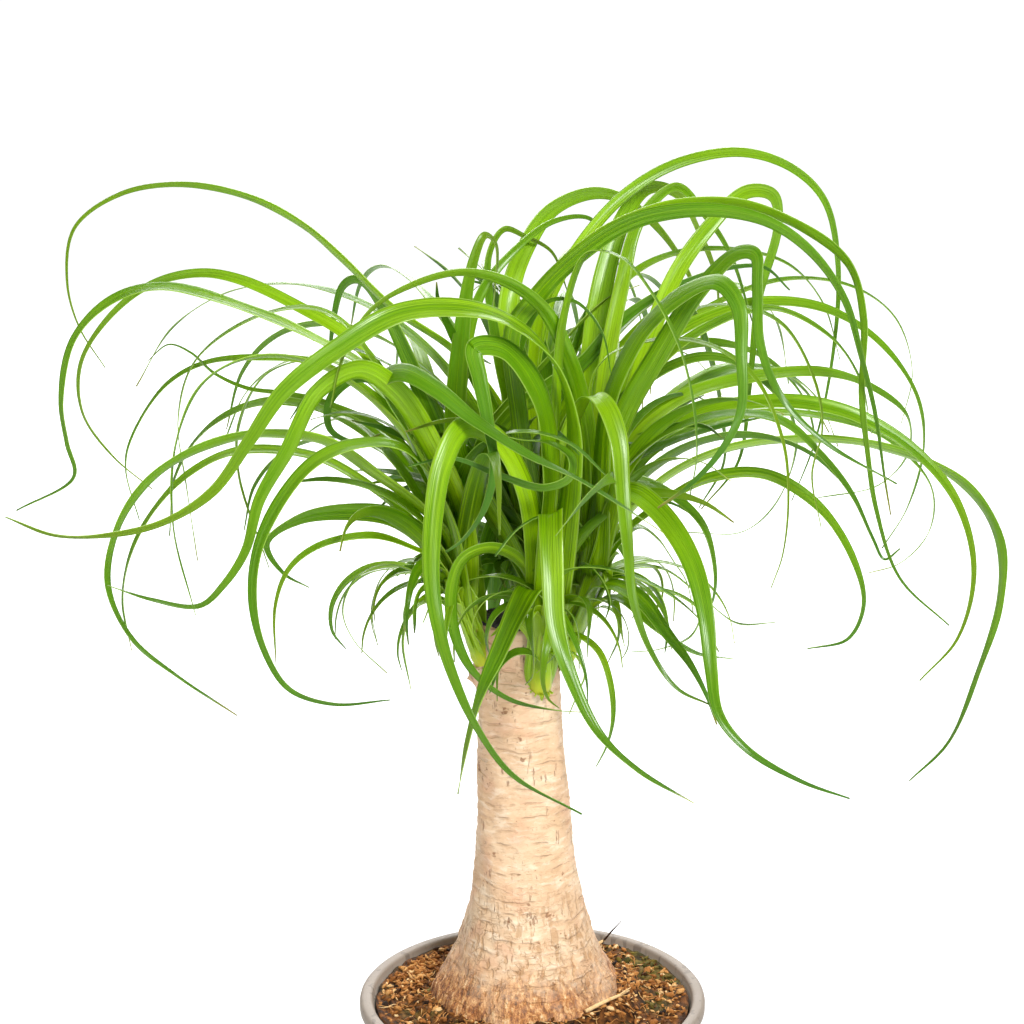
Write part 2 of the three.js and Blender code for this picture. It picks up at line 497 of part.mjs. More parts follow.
// Places along the blade, closer together where the midrib bends, with the direction across.
function stationsOf(way, turn) {
  const curve = new THREE.CatmullRomCurve3(way);
  const fine = 96;
  const spots = Array.from({ length: fine + 1 }, (_, index) => curve.getPoint(index / fine));
  const heads = spots.map((spot, index) => {
    const before = spots[Math.max(0, index - 1)];
    const after = spots[Math.min(fine, index + 1)];
    return after.clone().sub(before).normalize();
  });
  const outward = way[Math.min(3, way.length - 1)].clone().sub(way[0]).setZ(0);
  let across = new THREE.Vector3(0, 0, 1).cross(outward).normalize();
  across.addScaledVector(heads[0], -across.dot(heads[0])).normalize();
  const runs = [0];
  const bends = [0];
  const sides = [across];
  for (let index = 1; index <= fine; index += 1) {
    const bend = heads[index - 1].angleTo(heads[index]);
    const axis = heads[index - 1].clone().cross(heads[index]).normalize();
    across = across.clone();
    if (bend > 1e-6) across.applyAxisAngle(axis, bend);
    across.addScaledVector(heads[index], -across.dot(heads[index])).normalize();
    runs.push(runs[index - 1] + spots[index].distanceTo(spots[index - 1]));
    bends.push(bends[index - 1] + bend);
    sides.push(across);
  }
  const effort = runs.map((run, index) => run / 115 + bends[index] / 0.48);
  const count = Math.max(4, Math.round(effort[fine]));
  const stations = [];
  let index = 0;
  for (let stop = 0; stop <= count; stop += 1) {
    const goal = (effort[fine] * stop) / count;
    while (index < fine && effort[index] < goal - 1e-9) index += 1;
    const share = runs[index] / runs[fine];
    const side = sides[index].clone();
    side.applyAxisAngle(heads[index], THREE.MathUtils.degToRad(turn) * share);
    stations.push({ spot: spots[index], head: heads[index], side, share });
  }
  return stations;
}

// Share of the full width: narrow where the blade leaves the stem, then full, then a long tip.
const taper = (share) => (0.08 + 0.95 * (1 - share ** 2.2)) * (0.28 + 0.72 * smooth(share / 0.18));

// A blade is a strap of four long faces, split alike on its upper and under side.
function bladeSolid(stations, width, spare) {
  const places = [];
  const faces = [];
  for (const { spot, head, side, share } of stations) {
    const half = (width * taper(share)) / 2 + spare;
    const thick = BLADE_THICKNESS / 2 + spare;
    const lift = side.clone().cross(head).normalize();
    for (const [across, up] of [[-1, 1], [1, 1], [1, -1], [-1, -1]]) {
      const corner = spot.clone().addScaledVector(side, across * half).addScaledVector(lift, up * thick);
      places.push(...corner.toArray());
    }
  }
  const quad = (a, b, c, d) => faces.push(a, b, c, a, c, d);
  const last = (stations.length - 1) * 4;
  for (let base = 0; base < last; base += 4) {
    quad(base, base + 1, base + 5, base + 4);
    quad(base + 1, base + 2, base + 6, base + 5);
    faces.push(base + 3, base + 7, base + 6, base + 3, base + 6, base + 2);
    quad(base + 3, base, base + 4, base + 7);
  }
  quad(3, 2, 1, 0);
  quad(last, last + 1, last + 2, last + 3);
  const geometry = new THREE.BufferGeometry();
  geometry.setAttribute("position", new THREE.BufferAttribute(new Float32Array(places), 3));
  geometry.setIndex(faces);
  return solidOf(geometry);
}

function stemSolid(shoot) {
  const seat = new THREE.Vector3(...shoot.seat);
  const axis = new THREE.Vector3(...shoot.crown).sub(seat);
  const stem = new THREE.CylinderGeometry(shoot.radius * 0.65, shoot.radius, axis.length() + 6, 6);
  const turn = new THREE.Quaternion().setFromUnitVectors(new THREE.Vector3(0, 1, 0), axis.clone().normalize());
  stem.applyQuaternion(turn);
  const middle = seat.addScaledVector(axis, 0.5);
  stem.translate(middle.x, middle.y, middle.z);
  return solidOf(stem);
}

const swayOrder = [0];
for (let step = 1; step <= SWAY_TRIES; step += 1) {
  swayOrder.push(step * SWAY_STEP, -step * SWAY_STEP);
}

// Grows every shoot in turn. A leaf takes the least sway that clears the cane and all leaves
// of the other shoots, and of those the one that crosses the fewest leaves of its own shoot.
function growShoots(trunk) {
  const grown = [];
  const bodies = {};
  for (const [name, shoot] of Object.entries(SHOOTS)) {
    const fans = FANS[name].flatMap((fan) => fanLeaves(fan, shoot.crown));
    const strangers = grown.slice();
    const own = [stemSolid(shoot)];
    const siblings = [];
    [...shoot.leaves, ...fans].forEach(({ width, turn, lean, way }, index) => {
      const root = rootOf(shoot, way, (index * 0.618) % 1);
      const midrib = [root, ...way.map((point) => new THREE.Vector3(...point))];
      let best = { crossings: Infinity };
      for (const sway of swayOrder) {
        const stations = stationsOf(swayed(midrib, lean, sway), turn);
        const fat = bladeSolid(stations, width, CLEARANCE);
        const free = bladeSolid(stations.filter(({ share }) => share > FREE_SHARE), width, CLEARANCE);
        if (touches(free, trunk) || strangers.some((other) => touches(fat, other))) continue;
        const crossings = siblings.filter((other) => touches(free, other)).length;
        if (crossings < best.crossings) best = { crossings, stations, free };
        if (crossings === 0) break;
      }
      if (best.crossings === Infinity) throw new Error(`leaf ${index} of ${name} cannot be bent clear`);
      siblings.push(best.free);
      own.push(bladeSolid(best.stations, width, 0));
    });
    grown.push(...own);
    bodies[name] = mainBody(wasm.Manifold.union(own).subtract(trunkSolid(CLEARANCE)));
  }
  return bodies;
}

function touches(first, second) {
  const a = first.boundingBox();
  const b = second.boundingBox();
  const apart = [0, 1, 2].some((axis) => a.min[axis] > b.max[axis] || b.min[axis] > a.max[axis]);
  return !apart && !first.intersect(second).isEmpty();
}

// ---- the plant in its pot --------------------------------------------------------------
const finishes = {
  glazedClay: { color: 0xcfc5bb, roughness: 0.45, metalness: 0 },
  barkSoil: { color: 0x6b4426, roughness: 0.95, metalness: 0 },
  bark: { color: 0xe3c193, roughness: 0.8, metalness: 0 },
  leafGreen: { color: 0x5fa010, roughness: 0.4, metalness: 0 },
};

function part(name, geometry, finish) {
  const mesh = new THREE.Mesh(geometry, new THREE.MeshStandardMaterial(finishes[finish]));
  mesh.name = name;
  return mesh;
}

const trunk = trunkSolid(0);
const shoots = growShoots(trunk);

const palm = new THREE.Group();
palm.add(part("pot", potGeometry(), "glazedClay"));
palm.add(part("soil", geometryOf(soilSolid()), "barkSoil"));
palm.add(part("trunk", geometryOf(trunk), "bark"));
for (const [name, body] of Object.entries(shoots)) {
  palm.add(part(`shoot_${name}`, geometryOf(body), "leafGreen"));
}

export default palm;
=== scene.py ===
"""Dresses a potted ponytail palm: a cut cane with four leafy shoots in a round pot of bark soil.

The sizes and the ways of the leaves are in millimetres and become metres as a mesh is finished.
"""
import math
import random

import bmesh
import bpy
from mathutils import Matrix, Vector, noise
from mathutils.kdtree import KDTree


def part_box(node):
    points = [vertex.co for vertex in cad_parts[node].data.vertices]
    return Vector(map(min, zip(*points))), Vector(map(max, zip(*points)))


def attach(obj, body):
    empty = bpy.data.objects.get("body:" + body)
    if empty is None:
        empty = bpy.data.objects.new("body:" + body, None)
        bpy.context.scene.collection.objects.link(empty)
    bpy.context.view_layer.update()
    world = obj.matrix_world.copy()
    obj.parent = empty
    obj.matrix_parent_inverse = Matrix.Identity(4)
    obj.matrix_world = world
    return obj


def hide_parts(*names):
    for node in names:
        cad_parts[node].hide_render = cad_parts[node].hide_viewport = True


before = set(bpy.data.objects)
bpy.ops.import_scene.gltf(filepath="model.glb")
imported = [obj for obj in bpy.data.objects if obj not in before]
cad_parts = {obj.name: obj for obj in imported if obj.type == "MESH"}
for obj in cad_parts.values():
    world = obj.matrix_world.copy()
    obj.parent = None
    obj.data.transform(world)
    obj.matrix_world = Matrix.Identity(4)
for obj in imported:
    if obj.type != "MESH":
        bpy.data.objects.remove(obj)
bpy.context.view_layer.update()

MM = 0.001

# ---- pot and soil sizes; the pot's height and rim are read from its solid --------------------
# The rim and the base are radii.
POT_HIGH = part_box("pot")[1] / MM
POT_HEIGHT = POT_HIGH.z
POT_RIM = POT_HIGH.x
POT_BASE = 88
POT_WALL = 8
POT_MOUTH = POT_RIM - POT_WALL - 1
POT_STEPS = 144
LIP_HEIGHT = 9
LIP_STEP = 2.5
SOIL_LEVEL = 186
SOIL_DEPTH = 10
SOIL_GAP = 1.2
SOIL_HEAP = 5
SOIL_LEAN = 7
SOIL_STEPS = 150
SOIL_SEED = 5
# How far from the cane the heap ends, and where the moss and the dry moss clump lie.
HEAP_REACH = 88
MOSS_PLACE = (88, 45)
CLUMP_PLACE = (-84, 38, 0)
# How many small shapes lie in the soil, and how many of them are made at a time.
CHIPS = 1900
STRANDS = 560
TUFTS = 240
BATCH = 25

# ---- cane sizes -------------------------------------------------------------------------------
TRUNK_BOTTOM = 138
TRUNK_TOP = 468
RINGS_FROM = 190
RING_SPACING = 9.5
TRUNK_STEPS = 168
TRUNK_ROW = 2
# Heights of the rows in the buried foot; above the last one the rows are even.
BURIED_ROWS = (TRUNK_BOTTOM, 146, 152, 158, 165)
EVEN_ROWS_FROM = 172
# The cut lies this far below the top of its rim, and the bark gets rougher and ridged downwards
# from these heights.
CUT_DEPTH = 1
ROUGH_BELOW = 290
RIDGES_BELOW = 235
# Radius of the cane by height: a swollen foot in the soil, a waist, a blunt top.
TRUNK_RADIUS = [
    (138, 30), (146, 45), (158, 58), (172, 65.5), (188, 67.5), (196, 65.5), (204, 61.8),
    (216, 54.6), (231, 47.6), (246, 42.9), (261, 39.3), (276, 36.9), (298, 33.9), (335, 31.4),
    (408, 27.9), (440, 27.8), (468, 28.4),
]
# The cane leans a little to the left on its way up.
TRUNK_CENTRE = [(138, -4.5), (230, -4.5), (298, -6), (408, -9), (468, -9.5)]
# Woody swellings: place, how far they stand out and how wide they are.
KNOBS = [((-36, -12, 431), 9, 8), ((-18, -24, 389), 2.6, 4.5)]

# ---- leaf sizes -------------------------------------------------------------------------------
BLADE_THICKNESS = 0.55
BLADE_COLUMNS = 8
# How far a solid leaf may have been moved to clear its neighbours, smallest moves first.
SWAYS = [0, *(side * step * 3 for step in range(1, 13) for side in (1, -1))]
# The camera's place in whole millimetres. Leans and sways move a leaf along the lines from here.
VIEWPOINT = Vector((-14, -2057, 1151))
FAN_STEPS = 8
# Roots are spread up a stem: the lowest root and the span of all roots, as shares of the stem, and
# the share of the span from one root to the next, which starts again from below past the top.
ROOT_LOW = 0.25
ROOT_SPAN = 0.65
GOLDEN = 0.618
# How far below the bark of the stem a leaf's root lies, and the rows and columns of a stem.
ROOT_SINK = 4.5
STEM_ROWS = 18
STEM_STEPS = 28
# Steps in which each stretch of a way is walked, and the run, or the bend in radians, after which
# a blade gets its next row. The rows of small inner leaves are COARSE times farther apart.
FINE_STEPS = 24
ROW_RUN = 9
ROW_BEND = 0.13
COARSE = 1.5
# How many sheaths clasp a stem, how many of them hug it tightly, how many frays stand round it,
# and the turn in degrees from one sheath to the next.
SHEATHS = 13
TIGHT_SHEATHS = 5
FRAYS = 18
SHEATH_TURN = 137.5
SHOOT_SEED = 100
# Forms of a blade: radius of its clasping foot, share of its length at which it lies open, how late
# it tapers, and the parts of a full leaf, from pale foot to dry tip, that its two ends look like.
LEAF_FORM = (8.0, 0.16, 1, 0.0, 1.0)
SHEATH_FORM = (6.0, 1.2, 1.4, 0.0, 0.45)
PALE_FRAY = (4.0, 0.5, 1, 0.0, 0.02)
DRY_FRAY = (4.0, 0.5, 1, 0.97, 1.0)


# ---- the plan of the leaves -------------------------------------------------------------------
def leaf(width, turn, lean, *way, tone=None):
    """A leaf's widest width, its turn, its tip's lean, its way and its tone, from dark to light. A set tone
    is partly painted light and shade: lower for a leaf that lies in shade, higher for a brightly lit one.

    The turn is in degrees from root to tip, or a turn near the root and the turn at the tip. A leaf
    without a tone gets one at random.
    """
    way = [Vector(point) for point in way]
    return {"width": width, "turn": turn, "lean": lean, "way": way, "tone": tone}


def fan(count, headings, length, width, climb, fall, bend, seed):
    """Leaves that grow by rule: their number, headings, lengths, width, slopes, bend and seed."""
    return {
        "count": count, "headings": headings, "length": length, "width": width,
        "climb": climb, "fall": fall, "bend": bend, "seed": seed,
    }


# Each shoot has a short stout stem, from its seat on the cane to its crown.
SHOOTS = {
    "front": {
        "seat": [5, -27, 428], "crown": [8, -43, 482], "radius": 9,
        "leaves": [
            leaf(19.8, (-15, -195), -70, [22, -50, 560], [24, -56, 620], [10, -62, 664], [-18, -70, 690],
                [-46, -76, 699], [-86, -86, 698], [-124, -95, 678], [-159, -102, 651], [-181, -108, 620],
                [-204, -113, 589], [-236, -118, 570], [-271, -122, 563], [-303, -125, 564],
                [-333, -128, 577], tone=0.35),
            leaf(17, (45, 165), -90, [2, -48, 530], [-6, -56, 578], [-24, -66, 612], [-45, -78, 622],
                [-58, -90, 602], [-64, -98, 571], [-66, -104, 533], [-62, -109, 500], [-52, -113, 465],
                [-36, -117, 430], [-14, -119, 400], [31, -122, 374], tone=0.5),
            leaf(12, (-45, 180), -30, [0, -46, 505], [-12, -50, 526], [-30, -56, 534], [-46, -60, 528],
                [-53, -65, 512], [-53, -68, 485], [-41, -72, 456], [-17, -76, 437], [14, -79, 430],
                [31, -80, 429], tone=0.25),
            leaf(19.8, (-15, 45), -40, [3, -47, 494], [-2, -54, 505], [-11, -64, 492], [-24, -72, 464],
                [-35, -78, 440], [-44, -84, 408], [-50, -87, 374], tone=0.15),
            leaf(18, (45, -45), -90, [9, -48, 515], [11, -55, 548], [11, -66, 561], [11, -79, 552],
                [12, -87, 526], [14, -93, 494], [24, -99, 460], [42, -105, 424], [68, -111, 400],
                [104, -118, 380], tone=0.4),
            leaf(23, (-120, -115), -40, [8, -46, 540], [10, -52, 590], [2, -60, 640], [-20, -68, 671],
                [-38, -76, 673], [-35, -80, 655], [-29, -84, 623], [-26, -88, 597], [-33, -90, 569],
                [-47, -92, 550], [-57, -93, 543], tone=0.3),
            leaf(15, 150, -30, [-8, -48, 520], [-33, -56, 570], [-50, -68, 605], [-40, -84, 622],
                [-9, -95, 618], [10, -99, 617], [23, -103, 609], [22, -107, 597], [6, -110, 591],
                [-22, -110, 599], [-52, -109, 610], [-80, -106, 604], tone=0.3),
            leaf(14, 22, -40, [2, -46, 540], [-10, -46, 620], [-14, -46, 678], [2, -46, 701],
                [19, -48, 720], [50, -54, 745], [77, -62, 757], [115, -74, 762], [148, -85, 756],
                [174, -92, 738], [194, -98, 710], [205, -101, 675], [215, -104, 637], [222, -107, 595],
                [226, -110, 573], tone=0.12),
            leaf(9, 60, -60, [10, -44, 540], [14, -42, 620], [20, -43, 690], [35, -46, 729], [56, -54, 727],
                [75, -62, 706], [91, -70, 677], [101, -78, 641], [104, -82, 604], [100, -85, 579],
                tone=0.5),
            leaf(8, 20, -30, [2, -47, 530], [-12, -54, 610], [-8, -60, 672], [8, -65, 701], [26, -68, 702],
                [43, -72, 683], [49, -74, 655], tone=0.2),
            leaf(18, (0, 0), -80, [15, -46, 530], [18, -51, 580], [27, -58, 624], [37, -68, 640],
                [45, -79, 637], [53, -89, 618], [56, -97, 587], [60, -104, 545], [63, -108, 517],
                [74, -112, 484], [92, -115, 458], [113, -118, 448], tone=0.8),
            leaf(8, 20, -30, [16, -44, 470], [30, -46, 470], [43, -48, 460], [51, -50, 438], [53, -51, 414],
                [49, -52, 395], [42, -52, 380], tone=0.45),
            leaf(5, 10, -10, [16, -42, 456], [26, -43, 457], [34, -44, 443], [30, -45, 431],
                [24, -45, 415]),
        ],
    },
    "right": {
        "seat": [19, -7, 440], "crown": [39, -13, 492], "radius": 10,
        "leaves": [
            leaf(16, (45, -195), -70, [47, -18, 540], [56, -25, 606], [81, -40, 662], [105, -54, 706],
                [128, -67, 733], [139, -77, 734], [140, -85, 716], [142, -92, 681], [156, -98, 647],
                [184, -104, 619], [229, -112, 594], tone=0.3),
            leaf(20, (-60, -135), -60, [42, -26, 540], [47, -36, 624], [66, -50, 674], [93, -65, 706],
                [116, -79, 717], [128, -91, 704], [130, -98, 675], [130, -104, 640], [117, -109, 614],
                [97, -111, 592], [78, -111, 578], tone=0.25),
            leaf(17, (30, 15), -20, [46, -26, 530], [54, -42, 566], [66, -64, 574], [84, -88, 564],
                [100, -116, 543], [108, -138, 515], [111, -152, 485], [116, -160, 457], [134, -168, 436],
                [168, -180, 419], [197, -188, 411], tone=0.3),
            leaf(12, 25, -40, [46, -16, 530], [62, -22, 570], [90, -36, 565], [111, -46, 547],
                [119, -53, 519], [118, -57, 500], [113, -59, 489], tone=0.4),
            leaf(11, 20, 20, [46, -8, 505], [58, -5, 525], [70, 0, 532], [84, 4, 522], [95, 8, 505],
                [104, 10, 490], [109, 12, 468], tone=0.4),
            leaf(15, (15, 15), -50, [43, -24, 497], [52, -34, 502], [70, -55, 499], [86, -72, 482],
                [102, -86, 464], [113, -94, 444], [119, -98, 427], tone=0.25),
            leaf(10, 10, -60, [46, -20, 488], [60, -25, 488], [84, -31, 469], [109, -37, 455],
                [134, -40, 452]),
            leaf(8, 20, 30, [48, 4, 490], [62, 12, 498], [88, 20, 496], [117, 28, 472], [141, 32, 453],
                [167, 34, 453]),
            leaf(6, 20, 20, [50, 0, 480], [74, 5, 486], [98, 10, 481], [113, 12, 468], [108, 12, 451],
                [86, 12, 441], [67, 12, 439]),
            leaf(6, 0, -10, [46, -20, 482], [55, -22, 478], [57, -24, 462], [50, -25, 444]),
            leaf(15, 30, -60, [46, -18, 530], [54, -23, 568], [86, -34, 605], [126, -45, 622],
                [160, -54, 620], [185, -61, 600], [206, -66, 574], [220, -69, 545], [228, -70, 531],
                [238, -69, 538], tone=0.3),
            leaf(13, 70, -50, [48, -8, 540], [62, -6, 574], [100, -5, 607], [155, -8, 621], [206, -11, 615],
                [250, -14, 591], [281, -17, 555], [294, -20, 508], [285, -22, 461], [260, -24, 431],
                tone=0.35),
            leaf(16, (-45, -30), 40, [52, -4, 522], [85, 4, 561], [128, 10, 582], [180, 15, 588],
                [234, 19, 582], [290, 23, 556], [317, 26, 516], [320, 28, 470], [308, 30, 420],
                [289, 31, 366], [263, 32, 337], tone=0.45),
            leaf(14, 45, 40, [48, 4, 540], [61, 12, 584], [97, 24, 614], [148, 38, 626], [199, 51, 626],
                [232, 60, 613], [257, 66, 591], [258, 69, 563], [239, 70, 541], [197, 69, 532], tone=0.5),
            leaf(9, 40, 40, [40, 5, 550], [50, 14, 604], [82, 22, 632], [113, 30, 642], [139, 38, 635],
                [173, 50, 601], [180, 55, 573], [167, 60, 530], [145, 61, 510], [107, 59, 510]),
            leaf(7, 50, -60, [37, -26, 580], [42, -36, 652], [77, -48, 672], [114, -60, 671],
                [141, -70, 653], [159, -81, 614], [163, -86, 577], [160, -89, 540], [153, -90, 518]),
            leaf(7, 40, -50, [43, -12, 560], [66, -15, 636], [99, -20, 683], [131, -26, 690],
                [161, -32, 679], [182, -38, 644], [188, -41, 612], [182, -42, 580], [189, -41, 544]),
            leaf(11, 30, 30, [46, -2, 560], [70, 4, 625], [100, 8, 658], [155, 15, 679], [196, 19, 660],
                [218, 22, 630], [228, 24, 590]),
            leaf(19.5, (-75, 90), 50, [38, 0, 540], [38, 14, 600], [43, 32, 672], [58, 52, 727],
                [76, 72, 748], [98, 90, 741], [115, 104, 710], [127, 115, 678], [130, 118, 650], tone=0.95),
            leaf(13, 60, -40, [52, -10, 520], [82, -13, 549], [117, -15, 570], [154, -17, 573],
                [190, -19, 551], [214, -20, 514], [221, -21, 483], [211, -22, 460], [184, -22, 453],
                tone=0.45),
            leaf(10, 40, 40, [50, 2, 530], [76, 18, 575], [127, 30, 598], [182, 40, 600], [239, 51, 581],
                [274, 58, 543], [274, 61, 510], [255, 62, 487], [233, 61, 480]),
            leaf(13, (-60, 105), 30, [42, -6, 550], [46, 6, 622], [58, 24, 689], [71, 38, 734],
                [95, 48, 754], [116, 56, 732], [133, 64, 705], [150, 70, 655], tone=0.8),
            leaf(13, (-30, 165), 50, [50, -6, 560], [68, 5, 630], [92, 20, 696], [114, 32, 727],
                [141, 44, 751], [160, 53, 747], [164, 58, 725], [153, 63, 675], [148, 64, 614],
                [141, 63, 559], [116, 58, 527], tone=0.7),
            leaf(13, 15, -50, [38, -24, 550], [33, -38, 620], [21, -50, 664], [6, -56, 694],
                [-17, -62, 713], [-46, -68, 721], [-77, -72, 714], [-104, -76, 698], [-122, -80, 668],
                [-130, -82, 636], tone=0.35),
        ],
    },
    "left": {
        "seat": [-33, -11, 440], "crown": [-50, -15, 488], "radius": 9,
        "leaves": [
            leaf(10, (0, -90), 40, [-62, -10, 560], [-90, 0, 620], [-120, 10, 658], [-155, 20, 678],
                [-196, 30, 695], [-223, 36, 698], [-256, 42, 689], [-286, 47, 665], [-307, 52, 631],
                [-307, 55, 596], [-288, 58, 565], [-262, 60, 541], tone=0.55),
            leaf(15, -57, -60, [-60, -16, 550], [-80, -18, 605], [-108, -20, 645], [-138, -22, 664],
                [-175, -26, 683], [-240, -33, 704], [-273, -37, 696], [-298, -41, 671], [-307, -45, 631],
                [-304, -47, 603], [-300, -50, 581], [-338, -53, 559], tone=0.5),
            leaf(13, 85, -60, [-58, -20, 530], [-78, -25, 555], [-104, -35, 578], [-135, -45, 603],
                [-166, -55, 611], [-192, -62, 611], [-225, -70, 601], [-250, -78, 584], [-268, -85, 557],
                [-275, -90, 520], [-260, -95, 485], [-232, -98, 461], [-193, -100, 434], tone=0.4),
            leaf(11, -45, 30, [-60, -14, 515], [-83, -12, 541], [-110, -14, 565], [-145, -15, 585],
                [-196, -16, 589], [-227, -17, 575], [-251, -18, 551], [-268, -19, 521], [-275, -20, 487],
                [-270, -20, 451]),
            leaf(17, (-40, 155), -60, [-46, -24, 540], [-66, -48, 600], [-88, -62, 641], [-111, -75, 659],
                [-137, -88, 648], [-157, -98, 612], [-175, -104, 581], [-184, -108, 549], [-198, -110, 527],
                [-214, -112, 513], [-245, -114, 518], [-272, -116, 528], tone=0.6),
            leaf(14, (0, -75), -50, [-58, -18, 548], [-87, -26, 594], [-119, -34, 598], [-144, -40, 588],
                [-165, -46, 565], [-181, -50, 532], [-185, -54, 497], [-178, -57, 464], [-162, -60, 438],
                [-133, -62, 428], [-95, -62, 431], tone=0.3),
            leaf(15, -165, 20, [-64, -8, 515], [-92, 2, 537], [-123, 5, 541], [-157, 8, 535],
                [-180, 10, 517], [-169, 10, 496], [-152, 10, 486], tone=0.3),
            leaf(9, -60, -50, [-62, -30, 515], [-80, -42, 530], [-106, -50, 541], [-141, -60, 537],
                [-160, -66, 523], [-169, -70, 499], [-169, -74, 460]),
            leaf(17, -130, -40, [-58, -22, 540], [-82, -38, 605], [-98, -52, 646], [-84, -64, 655],
                [-62, -75, 646], [-39, -83, 629], [-5, -90, 608], [30, -97, 592], [82, -106, 560],
                tone=0.12),
            leaf(17, 10, 10, [-52, -13, 560], [-50, -4, 640], [-40, 4, 712], [-32, 10, 729], [-25, 15, 722],
                [-25, 18, 696], [-28, 20, 672], tone=0.35),
            leaf(10, 30, 30, [-50, -8, 560], [-48, -2, 630], [-35, 6, 690], [-9, 20, 720], [14, 32, 734],
                [38, 44, 733], [52, 56, 705], [55, 60, 675], tone=0.5),
            leaf(7, -60, 30, [-60, -14, 540], [-88, -12, 594], [-138, -8, 620], [-168, -5, 626],
                [-190, 0, 628], [-212, 5, 637], [-227, 8, 650], [-242, 11, 655], [-257, 13, 643]),
            leaf(9, 40, -60, [-60, -20, 550], [-85, -30, 604], [-125, -38, 645], [-160, -44, 660],
                [-192, -49, 658], [-216, -53, 642], [-232, -57, 605], [-235, -60, 550], [-222, -62, 490]),
            leaf(8, 35, 40, [-58, -8, 550], [-80, 2, 604], [-108, 8, 634], [-143, 14, 644], [-178, 18, 633],
                [-197, 21, 600], [-199, 23, 563], [-180, 25, 495]),
            leaf(18, (0, 120), -20, [-56, -14, 560], [-78, -10, 606], [-98, -6, 632], [-118, -4, 636],
                [-135, -3, 620], [-135, -2, 600], [-117, -2, 591], [-102, -2, 597], tone=0.1),
            leaf(17, -130, 30, [-54, -8, 570], [-80, 4, 640], [-100, 14, 680], [-116, 24, 696],
                [-127, 33, 690], [-135, 42, 660], [-138, 46, 625]),
            leaf(7, 20, -30, [-54, -24, 488], [-69, -32, 504], [-97, -40, 518], [-118, -46, 509],
                [-126, -49, 489], [-119, -51, 469], [-97, -52, 446]),
            leaf(7, 10, -20, [-50, -22, 484], [-62, -26, 489], [-80, -31, 484], [-87, -35, 464],
                [-82, -38, 430]),
        ],
    },
    "back": {
        "seat": [-6, 24, 438], "crown": [-1, 42, 492], "radius": 9,
        "leaves": [
            leaf(9, (45, 75), 50, [-8, 44, 540], [-20, 36, 600], [-52, 25, 646], [-93, 27, 675],
                [-128, 43, 706], [-154, 55, 726], [-191, 72, 742], [-238, 88, 748], [-282, 100, 739],
                [-315, 107, 714], [-322, 111, 675], [-315, 112, 643], [-298, 112, 614], tone=0.75),
            leaf(11, 20, 40, [-8, 47, 560], [-26, 52, 650], [-30, 57, 705], [-20, 63, 722], [-5, 73, 715],
                [13, 84, 702], [24, 94, 672], tone=0.35),
            leaf(17, (-90, 120), 60, [-5, 46, 540], [-14, 52, 610], [-16, 62, 676], [-5, 78, 707],
                [12, 92, 729], [39, 108, 738], [63, 122, 731], [94, 138, 700], [115, 150, 660],
                [120, 154, 625], tone=0.95),
            leaf(9, (0, 120), 50, [-1, 44, 540], [-1, 48, 610], [10, 51, 674], [30, 59, 710], [60, 70, 743],
                [96, 82, 763], [141, 94, 769], [176, 102, 757], [200, 109, 733], [211, 115, 690],
                [211, 120, 631], [200, 122, 560], [184, 122, 514], tone=0.45),
            leaf(13, (60, -105), -60, [2, 45, 560], [0, 44, 630], [10, 40, 684], [35, 30, 718],
                [79, 8, 746], [128, -15, 755], [170, -40, 745], [200, -58, 724], [209, -72, 692],
                [208, -85, 645], [212, -92, 610], [218, -97, 574], [234, -104, 529], [266, -110, 499],
                tone=0.6),
            leaf(11, 40, 40, [4, 45, 520], [20, 48, 578], [44, 53, 615], [75, 57, 638], [117, 65, 661],
                [159, 74, 670], [201, 82, 663], [238, 88, 639], [266, 94, 600], [273, 97, 562],
                [263, 98, 516], [246, 96, 487], tone=0.5),
            leaf(6, 40, 50, [6, 48, 540], [45, 60, 604], [85, 72, 642], [132, 92, 668], [176, 110, 678],
                [223, 126, 669], [255, 136, 644], [269, 143, 603], [263, 146, 565], tone=0.6),
            leaf(8, 30, 40, [4, 46, 570], [30, 56, 645], [64, 67, 688], [94, 78, 702], [137, 90, 703],
                [176, 101, 690], [201, 110, 661], [215, 117, 618], tone=0.6),
            leaf(12, 10, 60, [5, 48, 560], [35, 60, 622], [65, 76, 656], [92, 94, 670], [111, 108, 655],
                [125, 124, 618], [134, 138, 577], [137, 147, 535], [120, 152, 500], tone=0.2),
        ],
    },
}

# Ordinary leaves between and behind those above.
FANS = {
    "front": [fan(3, (-150, -20), (80, 140), 8, 55, -95, 1.0, 11)],
    "right": [
        fan(4, (35, 85), (280, 400), 13, 82, -78, 1.3, 21),
        fan(3, (-60, 60), (80, 150), 7, 50, -100, 1.0, 22),
    ],
    "left": [
        fan(4, (98, 150), (260, 380), 13, 82, -80, 1.3, 31),
        fan(4, (120, 250), (80, 150), 7, 50, -100, 1.0, 32),
    ],
    "back": [
        fan(11, (20, 165), (360, 500), 14, 84, -76, 1.35, 41),
        fan(4, (50, 130), (240, 330), 12, 86, -60, 1.6, 42),
        fan(4, (30, 150), (80, 150), 7, 45, -100, 1.0, 43),
    ],
}
